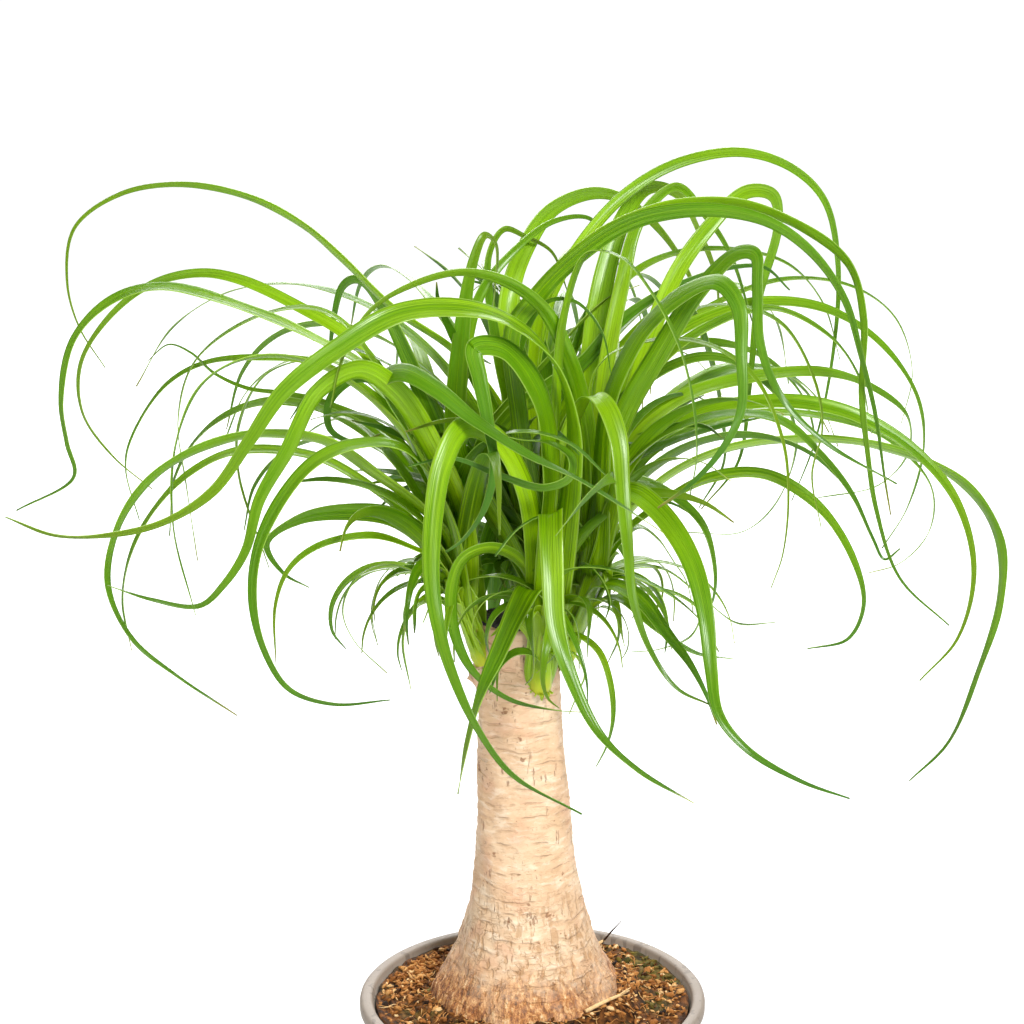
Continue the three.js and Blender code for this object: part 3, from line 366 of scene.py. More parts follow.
# Leaves without a solid of their own: wide ones that fill the crown low behind the cane, whose low tones
# are painted shade deep in the crown, a small curl in front of it, and leaves that cross the left shoot at a
# slant.
EXTRA_LEAVES = {
    "back": [
        # Painted shade: these wide leaves get low tones to darken the shaded inside of the crown.
        leaf(24, (110, 150), 0, [-5, 44, 512], [-14, 42, 528], [-23, 38, 522], [-31, 34, 500], [-37, 33, 470],
            [-42, 35, 430], tone=-0.1),
        leaf(24, (150, 150), 0, [-5, 44, 508], [-12, 43, 522], [-19, 42, 516], [-24, 42, 494], [-27, 44, 464],
            [-29, 48, 424], tone=0.05),
        leaf(22, (150, 140), 0, [-3, 44, 505], [-8, 46, 514], [-12, 46, 506], [-15, 46, 484], [-16, 48, 456],
            [-17, 52, 426], tone=0.1),
        leaf(16, (130, 110), 0, [-8, 46, 510], [-22, 48, 535], [-38, 46, 552], [-58, 42, 556], [-80, 38, 540],
            tone=0.05),
    ],
    "front": [
        leaf(10, (-30, -60), 0, [4, -56, 455], [-3, -62, 464], [-13, -68, 466], [-22, -73, 459],
            [-29, -77, 441], tone=0.2),
    ],
    "left": [
        leaf(16, (80, 60), 0, [-44, 0, 537], [-33, 15, 578], [-14, 25, 605], [10, 32, 621], [33, 38, 636],
            [55, 44, 660], [79, 50, 677], [106, 58, 688], [132, 66, 695],
            [157, 72, 694], [175, 78, 677], tone=0.05),
        leaf(11, (80, 100), 0, [-47, 5, 549], [-36, 18, 587], [-19, 30, 609], [-2, 38, 625], [18, 46, 646],
            [35, 54, 663], [53, 60, 677], [72, 66, 683], tone=0.55),
        leaf(12, (60, 90), 0, [-59, -24, 558], [-67, -28, 593], [-78, -30, 621], [-91, -32, 638],
            [-109, -34, 650], [-126, -36, 649], [-144, -38, 638],
            [-159, -40, 617], tone=0.2),
        leaf(7, -50, 0, [-69, -20, 577], [-101, -20, 645], [-127, -15, 678], [-150, -10, 685],
            [-190, 0, 673], [-225, 6, 644], [-237, 8, 605], [-233, 10, 557], [-227, 10, 505], tone=0.4),
        leaf(8, -50, 0, [-63, 10, 562], [-96, 20, 608], [-143, 25, 638], [-183, 32, 641],
            [-221, 38, 636], [-249, 42, 619], [-274, 45, 580], [-278, 46, 559], [-270, 48, 522], tone=0.5),
    ],
}
# Smaller leaves that fill each crown, such as uprights in its middle and curls round its foot:
# how many, the span of their headings, lengths, widest width, first climb, last slope and tone.
THICKETS = {
    "front": [
        (3, (-230, 50), (120, 200), 14, 78, -50, 0.3), (8, (-200, 20), (70, 140), 11, 50, -130, 0.45),
    ],
    "right": [
        (9, (-120, 110), (140, 270), 16, 82, -40, 0.4), (8, (-150, 90), (60, 140), 11, 45, -135, 0.45),
    ],
    "left": [
        (9, (60, 290), (140, 270), 16, 82, -40, 0.4), (11, (60, 310), (60, 150), 11, 45, -135, 0.45),
    ],
    "back": [
        (20, (-180, 180), (130, 270), 17, 80, 5, 0.12), (8, (-20, 200), (60, 140), 10, 45, -130, 0.4),
        # Painted shade: the low tones of these two thickets darken the shaded inside of the crown.
        (14, (140, 250), (100, 175), 18, 72, 0, -0.1), (9, (150, 250), (60, 110), 13, 34, -45, 0.05),
    ],
}


# ---- small helpers ----------------------------------------------------------------------------
def smooth(value):
    """An even step from 0 to 1."""
    value = min(1.0, max(0.0, value))
    return value * value * (3 - 2 * value)


def along(table, position):
    """Straight-line reading of a table of (position, value) pairs."""
    lower = table[0]
    for upper in table:
        if position <= upper[0]:
            span = (upper[0] - lower[0]) or 1
            return lower[1] + (upper[1] - lower[1]) * (position - lower[0]) / span
        lower = upper
    return lower[1]


def seeded(seed):
    """The same run of draws between 0 and 1 as the solids were grown with."""
    mask = 0xFFFFFFFF
    state = seed
    while True:
        state = (state + 0x6D2B79F5) & mask
        mixed = ((state ^ (state >> 15)) * (1 | state)) & mask
        mixed = ((mixed + (mixed ^ (mixed >> 7)) * (61 | mixed)) & mask) ^ mixed
        yield ((mixed ^ (mixed >> 14)) & mask) / 4294967296


def colour(code):
    """A colour code such as B08040 as the linear values that a shader takes."""
    parts = [int(code[place:place + 2], 16) / 255 for place in (0, 2, 4)]
    linear = [part / 12.92 if part <= 0.04045 else ((part + 0.055) / 1.055) ** 2.4 for part in parts]
    return (*linear, 1.0)


def finished(bm, name, nodes, slot, *finishes):
    """Turns a bmesh in millimetres into a piece on the one body, in the place of its solids."""
    bmesh.ops.scale(bm, vec=(MM, MM, MM), verts=bm.verts)
    mesh = bpy.data.meshes.new(name)
    bm.to_mesh(mesh)
    bm.free()
    piece = bpy.data.objects.new(name, mesh)
    bpy.context.scene.collection.objects.link(piece)
    for finish in finishes:
        mesh.materials.append(finish)
    mesh.shade_smooth()
    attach(piece, "root")
    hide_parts(*nodes)
    return piece


def add_shape(bm, shape):
    """Moves a small bmesh into a larger one with the same layers."""
    mesh = bpy.data.meshes.new("shape")
    shape.to_mesh(mesh)
    shape.free()
    bm.from_mesh(mesh)
    bpy.data.meshes.remove(mesh)


def spun(bm, profile, steps):
    """Spins a profile of (radius, height) points into a closed round shape."""
    verts = [bm.verts.new((radius, 0, height)) for radius, height in profile]
    edges = [bm.edges.new(pair) for pair in zip(verts, verts[1:])]
    bmesh.ops.spin(
        bm, geom=verts + edges, cent=(0, 0, 0), axis=(0, 0, 1), dvec=(0, 0, 0),
        angle=2 * math.pi, steps=steps, use_merge=True, use_normal_flip=False, use_duplicate=False,
    )
    bmesh.ops.remove_doubles(bm, verts=bm.verts, dist=0.0001)
    bmesh.ops.recalc_face_normals(bm, faces=bm.faces)


# ---- shader maths -----------------------------------------------------------------------------
class Value:
    """A value that changes over a surface; a sum with it is written as with a number."""

    def __init__(self, finish, socket):
        self.finish = finish
        self.socket = socket

    def sum(self, operation, first, second=0.0):
        """One step of a sum, as a node."""
        return self.finish.node("ShaderNodeMath", {"operation": operation}, {0: first, 1: second})

    def __add__(self, other):
        return self.sum("ADD", self, other)

    def __sub__(self, other):
        return self.sum("SUBTRACT", self, other)

    def __mul__(self, other):
        return self.sum("MULTIPLY", self, other)

    def whole(self):
        """The whole number below."""
        return self.sum("FLOOR", self)

    def rest(self):
        """What is left over the whole number below."""
        return self.sum("FRACT", self)

    def size(self):
        """The value without its sign."""
        return self.sum("ABSOLUTE", self)

    def step(self, low, high):
        """0 below low, 1 above high and an even slope between; high may be the smaller one."""
        return self.finish.node(
            "ShaderNodeMapRange", {"interpolation_type": "SMOOTHSTEP"},
            {"Value": self, "From Min": low, "From Max": high},
        )


class Finish:
    """A material in the making, out of shader nodes."""

    def __init__(self, name):
        self.material = bpy.data.materials.new(name)
        self.material.use_nodes = True
        self.tree = self.material.node_tree
        self.tree.nodes.clear()

    def node(self, kind, settings=None, values=None, output=0):
        """Adds a node: its settings, the values or links of its sockets, and the output to use."""
        made = self.tree.nodes.new(kind)
        for name, setting in (settings or {}).items():
            if name == "stops":
                for place, shade in setting[2:]:
                    made.color_ramp.elements.new(place).color = shade
                for element, (place, shade) in zip(
                    (made.color_ramp.elements[0], made.color_ramp.elements[-1]), setting[:2],
                ):
                    element.position = place
                    element.color = shade
            else:
                setattr(made, name, setting)
        for name, value in (values or {}).items():
            if isinstance(value, Value):
                self.tree.links.new(value.socket, made.inputs[name])
            else:
                made.inputs[name].default_value = value
        return Value(self, made.outputs[output]) if made.outputs else None

    def place(self):
        """The place on the object, in metres."""
        return self.node("ShaderNodeTexCoord", output="Object")

    def scaled(self, spot, scale):
        """A place, times a scale in each direction."""
        return self.node("ShaderNodeVectorMath", {"operation": "MULTIPLY"}, {0: spot, 1: scale})

    def parts(self, spot):
        """The three parts of a vector."""
        split = self.node("ShaderNodeSeparateXYZ", values={0: spot}).socket.node
        return [Value(self, split.outputs[index]) for index in range(3)]

    def joined(self, *parts):
        """A vector out of its three parts."""
        return self.node("ShaderNodeCombineXYZ", values=dict(enumerate(parts)))

    def attribute(self, name):
        """A value that the mesh carries at each point."""
        return self.node("ShaderNodeAttribute", {"attribute_name": name}, output="Fac")

    def noise(self, spot, scale, detail=2.0, rough=0.5):
        """Cloudy noise between 0 and 1."""
        values = {"Vector": spot, "Scale": scale, "Detail": detail, "Roughness": rough}
        return self.node("ShaderNodeTexNoise", None, values, "Fac")

    def mix(self, share, first, second):
        """A blend of two colours."""
        return self.node("ShaderNodeMix", {"data_type": "RGBA"}, {0: share, 6: first, 7: second}, output=2)

    def ramp(self, share, *stops):
        """A colour read from stops of (place, colour code), first and last stop first."""
        stops = [(place, colour(code)) for place, code in stops]
        return self.node("ShaderNodeValToRGB", {"stops": stops}, {0: share}, output="Color")

    def bump(self, height, strength, distance):
        """Fine relief that only the light sees, its distance in metres."""
        values = {"Height": height, "Strength": strength, "Distance": distance}
        return self.node("ShaderNodeBump", None, values)

    def skin(self, **values):
        """The main shader, with the names of its sockets in small letters."""
        sockets = {}
        for name, value in values.items():
            sockets[name.replace("_", " ").title().replace("Ior", "IOR")] = value
        return self.node("ShaderNodeBsdfPrincipled", None, sockets)

    def done(self, surface):
        """The finished material."""
        self.node("ShaderNodeOutputMaterial", None, {"Surface": surface})
        return self.material


# ---- pot --------------------------------------------------------------------------------------
def glazed_clay():
    """Matt taupe glaze: cloudy, finely speckled, with faint upright drag marks, most on the lip."""
    clay = Finish("taupe_glaze")
    spot = clay.place()
    height = clay.parts(spot)[2]
    rim_height = POT_HEIGHT * MM
    clouds = clay.noise(spot, 9, 3, 0.5)
    grain = clay.noise(spot, 900, 2, 0.6)
    drags = clay.noise(clay.scaled(spot, (1, 1, 0.05)), 260, 2, 0.5)
    ticks = clay.noise(clay.scaled(spot, (1, 1, 0.02)), 130, 1, 0.5)
    body = clay.ramp(clouds, (0.3, "82766A"), (0.72, "95897C"), (0.5, "8B7F73"))
    body = clay.mix(drags.step(0.6, 0.72) * 0.3, body, colour("554B42"))
    body = clay.mix(drags.step(0.42, 0.32) * 0.25, body, colour("8E8378"))
    body = clay.mix(grain.step(0.66, 0.74) * 0.35, body, colour("4F453D"))
    rim = height.step(rim_height - 0.0095, rim_height - 0.0085)
    body = clay.mix(rim * ticks.step(0.62, 0.66) * 0.5, body, colour("50463E"))
    top = height.step(rim_height - 0.0025, rim_height)
    body = clay.mix(top * 0.35, body, colour("7C7268"))
    bump = clay.bump(grain * 0.4 + drags * 0.6 + clouds * 0.4, 0.3, 0.0005)
    gloss = clay.noise(spot, 60, 3, 0.5) * 0.16 + 0.55
    return clay.done(clay.skin(base_color=body, roughness=gloss, normal=bump, specular_ior_level=0.3))


def make_pot():
    """The round pot: a foot ring, a flared wall, a groove under the lip and a smooth inside."""
    lip_bottom = POT_HEIGHT - LIP_HEIGHT
    body_top = POT_RIM - LIP_STEP
    profile = [
        (0, 3), (POT_BASE - 16, 3), (POT_BASE - 13, 0.6), (POT_BASE - 11, 0), (POT_BASE - 3.5, 0),
        (POT_BASE - 1.2, 1), (POT_BASE, 3.6), (POT_BASE + 3.4, 20), (POT_BASE + 7.6, 40),
        (POT_BASE + 11.8, 60), (POT_BASE + 15.6, 80), (POT_BASE + 19, 100), (POT_BASE + 22.2, 120),
        (POT_BASE + 25.3, 140), (POT_BASE + 28.2, 160), (body_top - 0.6, lip_bottom - 6),
        (body_top - 0.1, lip_bottom - 2.4), (body_top - 1.2, lip_bottom - 1.4),
        (body_top - 1.2, lip_bottom - 0.4), (body_top, lip_bottom + 0.1),
        (POT_RIM - 0.7, lip_bottom + 0.6), (POT_RIM, lip_bottom + 1.6),
        (POT_RIM, POT_HEIGHT - 3.2), (POT_RIM - 0.4, POT_HEIGHT - 1.6), (POT_RIM - 1.4, POT_HEIGHT - 0.5),
        (POT_RIM - 2.8, POT_HEIGHT), (POT_MOUTH + 2.4, POT_HEIGHT), (POT_MOUTH + 0.9, POT_HEIGHT - 0.5),
        (POT_MOUTH, POT_HEIGHT - 1.8), (POT_MOUTH - 0.4, POT_HEIGHT - 6), (POT_MOUTH - 1.4, POT_HEIGHT - 6.6),
        (POT_MOUTH - 2, 150), (POT_BASE + 14, 90), (POT_BASE - POT_WALL + 2, 12),
        (POT_BASE - POT_WALL - 4, POT_WALL), (0, POT_WALL),
    ]
    bm = bmesh.new()
    spun(bm, profile, POT_STEPS)
    finished(bm, "pot_glazed", ["pot"], "glazed_clay", glazed_clay())


# ---- cane -------------------------------------------------------------------------------------
def cane_radius(height):
    """Radius of the cane, with the corners of its table rounded off."""
    reach = (-7, -3.5, 0, 3.5, 7)
    low, high = TRUNK_RADIUS[0][0], TRUNK_RADIUS[-1][0]
    return sum(along(TRUNK_RADIUS, min(high, max(low, height + step))) for step in reach) / len(reach)


def cane_relief(angle, height):
    """How far the bark stands out: wavy leaf-scar rings, slow swellings and root ridges."""
    around = Vector((math.cos(angle), math.sin(angle), 0))
    wander = noise.noise(Vector((around.x * 1.4, around.y * 1.4, height * 0.012)))
    wander += 0.45 * noise.noise(Vector((around.x * 4, around.y * 4, height * 0.03 + 7)))
    phase = (height + 11 * wander) / RING_SPACING
    ring = abs(2 * (phase - math.floor(phase)) - 1) ** 2
    vigour = 0.4 + 1.1 * noise.noise(Vector((around.x * 3, around.y * 3, height * 0.05 + 3)))
    swell = 0.9 * math.sin(3 * angle + height * 0.017) + 0.5 * math.sin(7 * angle + height * 0.09)
    roots = 1.6 * math.sin(9 * angle + 1.3) * smooth((RIDGES_BELOW - height) / 45)
    creases = 0.6 * noise.noise(Vector((around.x * 4.2, around.y * 4.2, height * 0.3)))
    creases += 0.3 * noise.noise(Vector((around.x * 9, around.y * 9, height * 0.55)))
    rough = 1.5 * noise.noise(Vector((around.x * 9, around.y * 9, height * 0.12)))
    return -0.8 * ring * vigour + 0.2 + creases + swell + roots + rough * smooth((ROUGH_BELOW - height) / 80)


def make_cane():
    """The cane: a spun profile with wrinkled bark, woody swellings and a rough cut with a low rim."""
    rows = int((TRUNK_TOP - 4 - EVEN_ROWS_FROM) / TRUNK_ROW)
    heights = [*BURIED_ROWS, *(EVEN_ROWS_FROM + row * TRUNK_ROW for row in range(rows + 1))]
    top = cane_radius(TRUNK_TOP)
    profile = [(0, TRUNK_BOTTOM), *((cane_radius(height), height) for height in heights)]
    profile += [(top + 0.3, TRUNK_TOP - 2), (top - 0.4, TRUNK_TOP - 0.4)]
    profile += [(top - 1.6, TRUNK_TOP + 0.3), (top - 3.4, TRUNK_TOP - 0.3)]
    cut = TRUNK_TOP - CUT_DEPTH
    profile += [(top * share, cut + 0.2 - 0.6 * share) for share in (0.78, 0.64, 0.5, 0.36, 0.22, 0.1)]
    profile += [(0, cut)]
    bm = bmesh.new()
    spun(bm, profile, TRUNK_STEPS)
    bm.faces.ensure_lookup_table()
    for face in bm.faces:
        middle = face.calc_center_median()
        on_edge = middle.z > cut + 0.3 and face.normal.z > 0.5
        on_cut = middle.z > cut - 1 and Vector(middle.xy).length < top - 2
        if on_edge or on_cut:
            face.material_index = 1
    for vert in bm.verts:
        radius = Vector(vert.co.xy).length
        height = vert.co.z
        angle = math.atan2(vert.co.y, vert.co.x) + math.pi
        centre = along(TRUNK_CENTRE, height)
        wall = cane_radius(min(height, TRUNK_TOP))
        if radius > 0.01:
            relief = cane_relief(angle, height) * smooth((height - RINGS_FROM + 6) / 10)
            share = min(1.0, radius / wall)
            vert.co.x *= (radius + relief * share) / radius
            vert.co.y *= (radius + relief * share) / radius
        if height > TRUNK_TOP - 3:
            vert.co.z += 0.9 * noise.noise(vert.co * 0.16) + 0.5 * noise.noise(vert.co * 0.5)
        vert.co.x += centre
        for spot, stand, spread in KNOBS:
            reach = (vert.co - Vector(spot)).length / spread
            if reach < 3 and height < TRUNK_TOP - 6:
                outward = Vector((spot[0] - centre, spot[1], 2)).normalized()
                lumps = 1 + 0.35 * noise.noise(vert.co * 0.3)
                vert.co += outward * stand * lumps * math.exp(-reach * reach * 0.8)
    finished(bm, "cane", ["trunk"], "bark", cane_bark(), cut_wood())


def cane_bark():
    """Peach skin with soft wavy wrinkles, small corky plates lower down and a fibrous brown foot, with a
    painted highlight on the wrinkles' ridges, painted shade in their hollows and painted shade down the left
    side.
    """
    bark = Finish("cane_bark")
    spot = bark.place()
    across, depth, height = bark.parts(spot)
    wobble = bark.noise(spot, 24, 3, 0.55) * 0.015 + bark.noise(spot, 110, 2, 0.5) * 0.003
    rows = (height + wobble) * (1000 / RING_SPACING)
    row = rows.whole()
    inside = ((rows - row) * 2 - 1).size()
    rings = inside.step(0.7, 0.97) * bark.noise(spot, 64, 2, 0.5).step(0.46, 0.62)
    level = bark.joined(across, depth, (height + wobble * 0.8) * 3.6)
    wrinkles = bark.noise(level, 62, 4, 0.66)
    creases = bark.noise(level, 120, 3, 0.6).step(0.56, 0.68)
    low = height.step(0.305, 0.24)
    jagged = bark.noise(spot, 190, 3, 0.65)
    plates = bark.node(
        "ShaderNodeTexVoronoi", {"feature": "DISTANCE_TO_EDGE"},
        {"Vector": bark.joined(across + jagged * 0.006, depth + jagged * 0.006, (height + wobble) * 1.7),
         "Scale": 150.0, "Randomness": 0.95}, "Distance",
    )
    seams = (plates + (jagged - 0.5) * 0.16).step(0.1, 0.02) * bark.noise(spot, 75, 2, 0.5).step(0.44, 0.6)
    upright = bark.noise(bark.scaled(spot, (1, 1, 0.16)), 330, 3, 0.6)
    splits = upright.step(0.6, 0.66) * bark.noise(spot, 60, 2, 0.5).step(0.52, 0.64)
    fine = bark.noise(spot, 620, 3, 0.65)
    fibre = bark.noise(bark.scaled(spot, (1, 1, 0.3)), 260, 4, 0.78)
    patches = (bark.noise(spot, 21, 2, 0.5) - across * 1.2).step(0.38, 0.56) * 0.42 + 0.58
    foot = (height + bark.noise(spot, 46, 4, 0.65) * 0.036).step(0.254, 0.222) * patches
    clouds = bark.noise(spot, 30, 4, 0.6)
    body = bark.ramp(clouds, (0.28, "C4A27C"), (0.74, "DFCBAE"), (0.46, "D0AE8B"), (0.6, "D4B998"))
    # Partly the skin's own mottling, partly painted light: paler on the raised wrinkles as a painted
    # highlight, darker in their hollows as painted shade.
    body = bark.mix(wrinkles.step(0.5, 0.68) * 0.5, body, colour("E8D8C0"))
    body = bark.mix(wrinkles.step(0.46, 0.32) * 0.4, body, colour("B28C66"))
    body = bark.mix(bark.noise(spot, 55, 2, 0.5).step(0.52, 0.7) * 0.4, body, colour("CF9C7C"))
    # Painted shade: the cane's left side, away from the key lamp, is darkened.
    body = bark.mix(across.step(-0.012, -0.042) * 0.14, body, colour("A57E55"))
    body = bark.mix(creases * 0.16, body, colour("A87C54"))
    body = bark.mix(fine.step(0.58, 0.74) * 0.25, body, colour("A1754A"))
    body = bark.mix(rings * 0.26, body, colour("A27850"))
    knots = bark.noise(bark.scaled(spot, (1, 1, 1.3)), 72, 3, 0.7).step(0.63, 0.69)
    body = bark.mix(knots * 0.75, body, colour("7A4E2A"))
    body = bark.mix(splits * 0.6, body, colour("7C4E2C"))
    body = bark.mix(seams * low * 0.32, body, colour("94693C"))
    woven = bark.noise(bark.scaled(spot, (1, 1, 0.3)), 240, 2, 0.5).step(0.54, 0.66) * low
    body = bark.mix(woven * 0.6, body, colour("A67C50"))
    brown = bark.ramp(
        fibre, (0.34, "3A1E0C"), (0.7, "F2D6AC"), (0.43, "84491E"), (0.52, "B87638"), (0.6, "DBA56A"),
    )
    body = bark.mix(foot * 0.9, body, brown)
    relief = clouds * 0.3 + wrinkles * 0.9 + fine * 0.3 - rings * 0.8 - creases * 0.3
    relief = relief - splits * 0.8 - seams * low * 0.4 - woven * 0.7 + fibre * foot * 2.8
    bump = bark.bump(relief, 0.85, 0.0012)
    gloss = bark.noise(spot, 90, 2, 0.5) * 0.2 + 0.6
    return bark.done(bark.skin(base_color=body, roughness=gloss, normal=bump))


def cut_wood():
    """The dried flat cut of the cane: dark grey-purple with pale flecks of cut fibre."""
    wood = Finish("cut_wood")
    spot = wood.place()
    clouds = wood.noise(spot, 70, 4, 0.6)
    flecks = wood.noise(spot, 700, 2, 0.5)
    body = wood.ramp(clouds, (0.3, "2E2530"), (0.75, "7B6A70"), (0.55, "4B3E49"))
    body = wood.mix(flecks.step(0.62, 0.7) * 0.6, body, colour("A08C83"))
    bump = wood.bump(clouds + flecks * 0.5, 0.8, 0.001)
    return wood.done(wood.skin(base_color=body, roughness=wood.noise(spot, 40) * 0.1 + 0.8, normal=bump))


# ---- soil -------------------------------------------------------------------------------------
def soil_height(x, y):
    """The rough top of the soil, heaped against the cane and most of all at its front right."""
    coarse = math.sin(x * 0.13 + 1.1) * math.cos(y * 0.11 - 0.4)
    fine = math.sin(x * 0.31 - y * 0.23) * math.cos(y * 0.37 + x * 0.12)
    outside = math.hypot(x - TRUNK_CENTRE[0][1], y)
    front_right = min(1.0, max(0.0, 0.5 + (0.41 * x - 0.29 * y) / max(outside, 1.0)))
    heap = (SOIL_HEAP + SOIL_LEAN * front_right) * smooth((HEAP_REACH - outside) / 20)
    crumbs = 1.5 * noise.noise(Vector((x, y, 0)) * 0.2) + 0.9 * noise.noise(Vector((x, y, 9)) * 0.55)
    return SOIL_LEVEL + 0.8 * (coarse + fine) + heap + crumbs


def bark_soil():
    """Bark and coir crumbs, each with its own brown, and green moss among them."""
    soil = Finish("bark_soil")
    spot = soil.place()
    tone = soil.attribute("tone")
    clouds = soil.noise(spot, 160, 4, 0.65)
    body = soil.ramp(
        tone + (clouds - 0.5) * 0.6, (0.0, "1A0E05"), (1.0, "E2C08C"), (0.2, "40250D"), (0.38, "70431B"),
        (0.55, "9C6430"), (0.7, "BB8246"), (0.85, "D2A468"),
    )
    moss = soil.attribute("moss")
    green = soil.ramp(clouds, (0.3, "20220A"), (0.75, "827B36"), (0.5, "4C4A1A"))
    body = soil.mix(moss, body, green)
    bump = soil.bump(soil.noise(spot, 420, 4, 0.7), 0.9, 0.0015)
    dull = clouds * 0.15 + 0.82
    return soil.done(soil.skin(base_color=body, roughness=dull, normal=bump, specular_ior_level=0.2))


def soil_shape():
    """A new bmesh for soil, with a tone of brown and a share of moss for each point."""
    bm = bmesh.new()
    return bm, [bm.verts.layers.float.new(name) for name in ("tone", "moss")]


def marked(verts, layers, tone, moss=0.0):
    """Gives points their tone of brown and their share of moss."""
    for vert in verts:
        vert[layers[0]] = tone
        vert[layers[1]] = moss


def rod(bm, points, radii, sides=6):
    """A thin bent rod, drawn out from a circle along its points, closed at both ends."""
    rim = bmesh.ops.create_circle(bm, cap_ends=False, segments=sides, radius=1)["verts"]
    made = list(rim)
    edges = list({edge for vert in rim for edge in vert.link_edges})
    bottom = edges
    spoke_turn, spoke_length, centre = Matrix.Identity(3), 1.0, Vector()
    for index, (point, radius) in enumerate(zip(points, radii)):
        if index:
            drawn = bmesh.ops.extrude_edge_only(bm, edges=edges)["geom"]
            edges = [part for part in drawn if isinstance(part, bmesh.types.BMEdge)]
            edges = [edge for edge in edges if all(vert in drawn for vert in edge.verts)]
            rim = [part for part in drawn if isinstance(part, bmesh.types.BMVert)]
            made += rim
        before = points[max(0, index - 1)]
        after = points[min(len(points) - 1, index + 1)]
        turn = (after - before).to_track_quat("Z", "Y").to_matrix()
        for vert in rim:
            spoke = spoke_turn.inverted() @ (vert.co - centre) / spoke_length
            vert.co = point + turn @ (spoke * radius)
        spoke_turn, spoke_length, centre = turn, radius, point
    bmesh.ops.contextual_create(bm, geom=bottom)
    bmesh.ops.contextual_create(bm, geom=edges)
    bmesh.ops.recalc_face_normals(bm, faces=list({face for vert in made for face in vert.link_faces}))
    return made


def moss_at(x, y):
    """The share of green moss in the soil, most of it to the right of the cane."""
    patch = noise.noise(Vector((x, y, 40)) * 0.06) * 0.9 - 0.1
    away = (x - MOSS_PLACE[0]) ** 2 + (y - MOSS_PLACE[1]) ** 2
    return min(1.0, max(0.0, patch + 0.5 * math.exp(-away / 1500)))


def spot_on_soil(draw, nearest, farthest, edge):
    """A place drawn evenly over a ring of the soil, given as shares of the area inside the edge."""
    angle = draw.uniform(0, 2 * math.pi)
    reach = math.sqrt(draw.uniform(nearest, farthest)) * edge
    return reach * math.cos(angle), reach * math.sin(angle)


def add_chip(bm, layers, draw, edge):
    """A small rough flake of bark, lying in the top of the soil."""
    x, y = spot_on_soil(draw, 0.3, 1.0, edge - 4)
    length = draw.uniform(2.2, 7) * draw.choice((0.6, 0.8, 1, 1.3))
    flat = draw.uniform(0.35, 0.7)
    thin = draw.uniform(0.28, 0.55)
    turn = Matrix.Rotation(draw.uniform(0, math.pi), 4, "Z")
    for axis in "YX":
        turn = turn @ Matrix.Rotation(draw.uniform(-0.7, 0.7), 4, axis)
    sizes = Matrix.Diagonal((length / 2, length * flat / 2, length * thin / 2, 1))
    place = Matrix.Translation((x, y, soil_height(x, y) + length * thin * 0.25)) @ turn @ sizes
    chip = bmesh.ops.create_icosphere(bm, subdivisions=2, radius=1)["verts"]
    kick = Vector((draw.random(), draw.random(), draw.random())) * 50
    for vert in chip:
        vert.co *= 0.85 + 0.5 * noise.noise(vert.co * 1.7 + kick)
        vert.co = place @ vert.co
    moss = 0.85 if moss_at(x, y) > draw.uniform(0.25, 1.0) else 0.0
    marked(chip, layers, min(1, max(0, draw.gauss(0.52, 0.26))), moss)


def add_strand(bm, layers, draw, edge):
    """A thin bowed coir strand, lying on the soil."""
    x, y = spot_on_soil(draw, 0.28, 0.98, edge - 6)
    length = draw.uniform(4, 15)
    heading = draw.uniform(0, 2 * math.pi)
    bow = draw.uniform(-0.9, 0.9)
    points = []
    for stage in range(5):
        share = stage / 4 - 0.5
        way = heading + bow * share
        spot = Vector((x + length * share * math.cos(way), y + length * share * math.sin(way), 0))
        spot *= min(1.0, (edge - 2) / spot.length)
        spot.z = soil_height(spot.x, spot.y) + 0.6 + 1.6 * (0.25 - share * share)
        points.append(spot)
    strand = rod(bm, points, [0.25, 0.35, 0.35, 0.3, 0.15], 4)
    marked(strand, layers, min(1, max(0, draw.gauss(0.66, 0.2))))


def add_tuft(bm, layers, draw, edge):
    """A short curled thread of the dry moss clump that lies to the left of the cane."""
    middle = Vector(CLUMP_PLACE) + Vector((draw.gauss(0, 9), draw.gauss(0, 15), 0))
    middle *= min(1.0, (edge - 12) / middle.length)
    ground = soil_height(middle.x, middle.y)
    heading = draw.uniform(0, 2 * math.pi)
    lift = draw.uniform(0.5, 3.5)
    curl = draw.uniform(-2.2, 2.2)
    points = []
    for stage in range(5):
        way = heading + curl * stage / 4
        reach = (stage - 2) * draw.uniform(1.1, 1.9)
        x = middle.x + reach * math.cos(way)
        y = middle.y + reach * math.sin(way)
        points.append(Vector((x, y, ground + lift)))
        lift += draw.uniform(-0.8, 0.8)
    thread = rod(bm, points, [0.5, 0.85, 1.0, 0.8, 0.4], 5)
    marked(thread, layers, min(1, max(0.3, draw.gauss(0.62, 0.14))))


def scatter(soil, add_one, count, draw, edge):
    """Scatters many small shapes over the soil, made a few at a time."""
    for start in range(0, count, BATCH):
        bm, layers = soil_shape()
        for _ in range(min(BATCH, count - start)):
            add_one(bm, layers, draw, edge)
        add_shape(soil, bm)


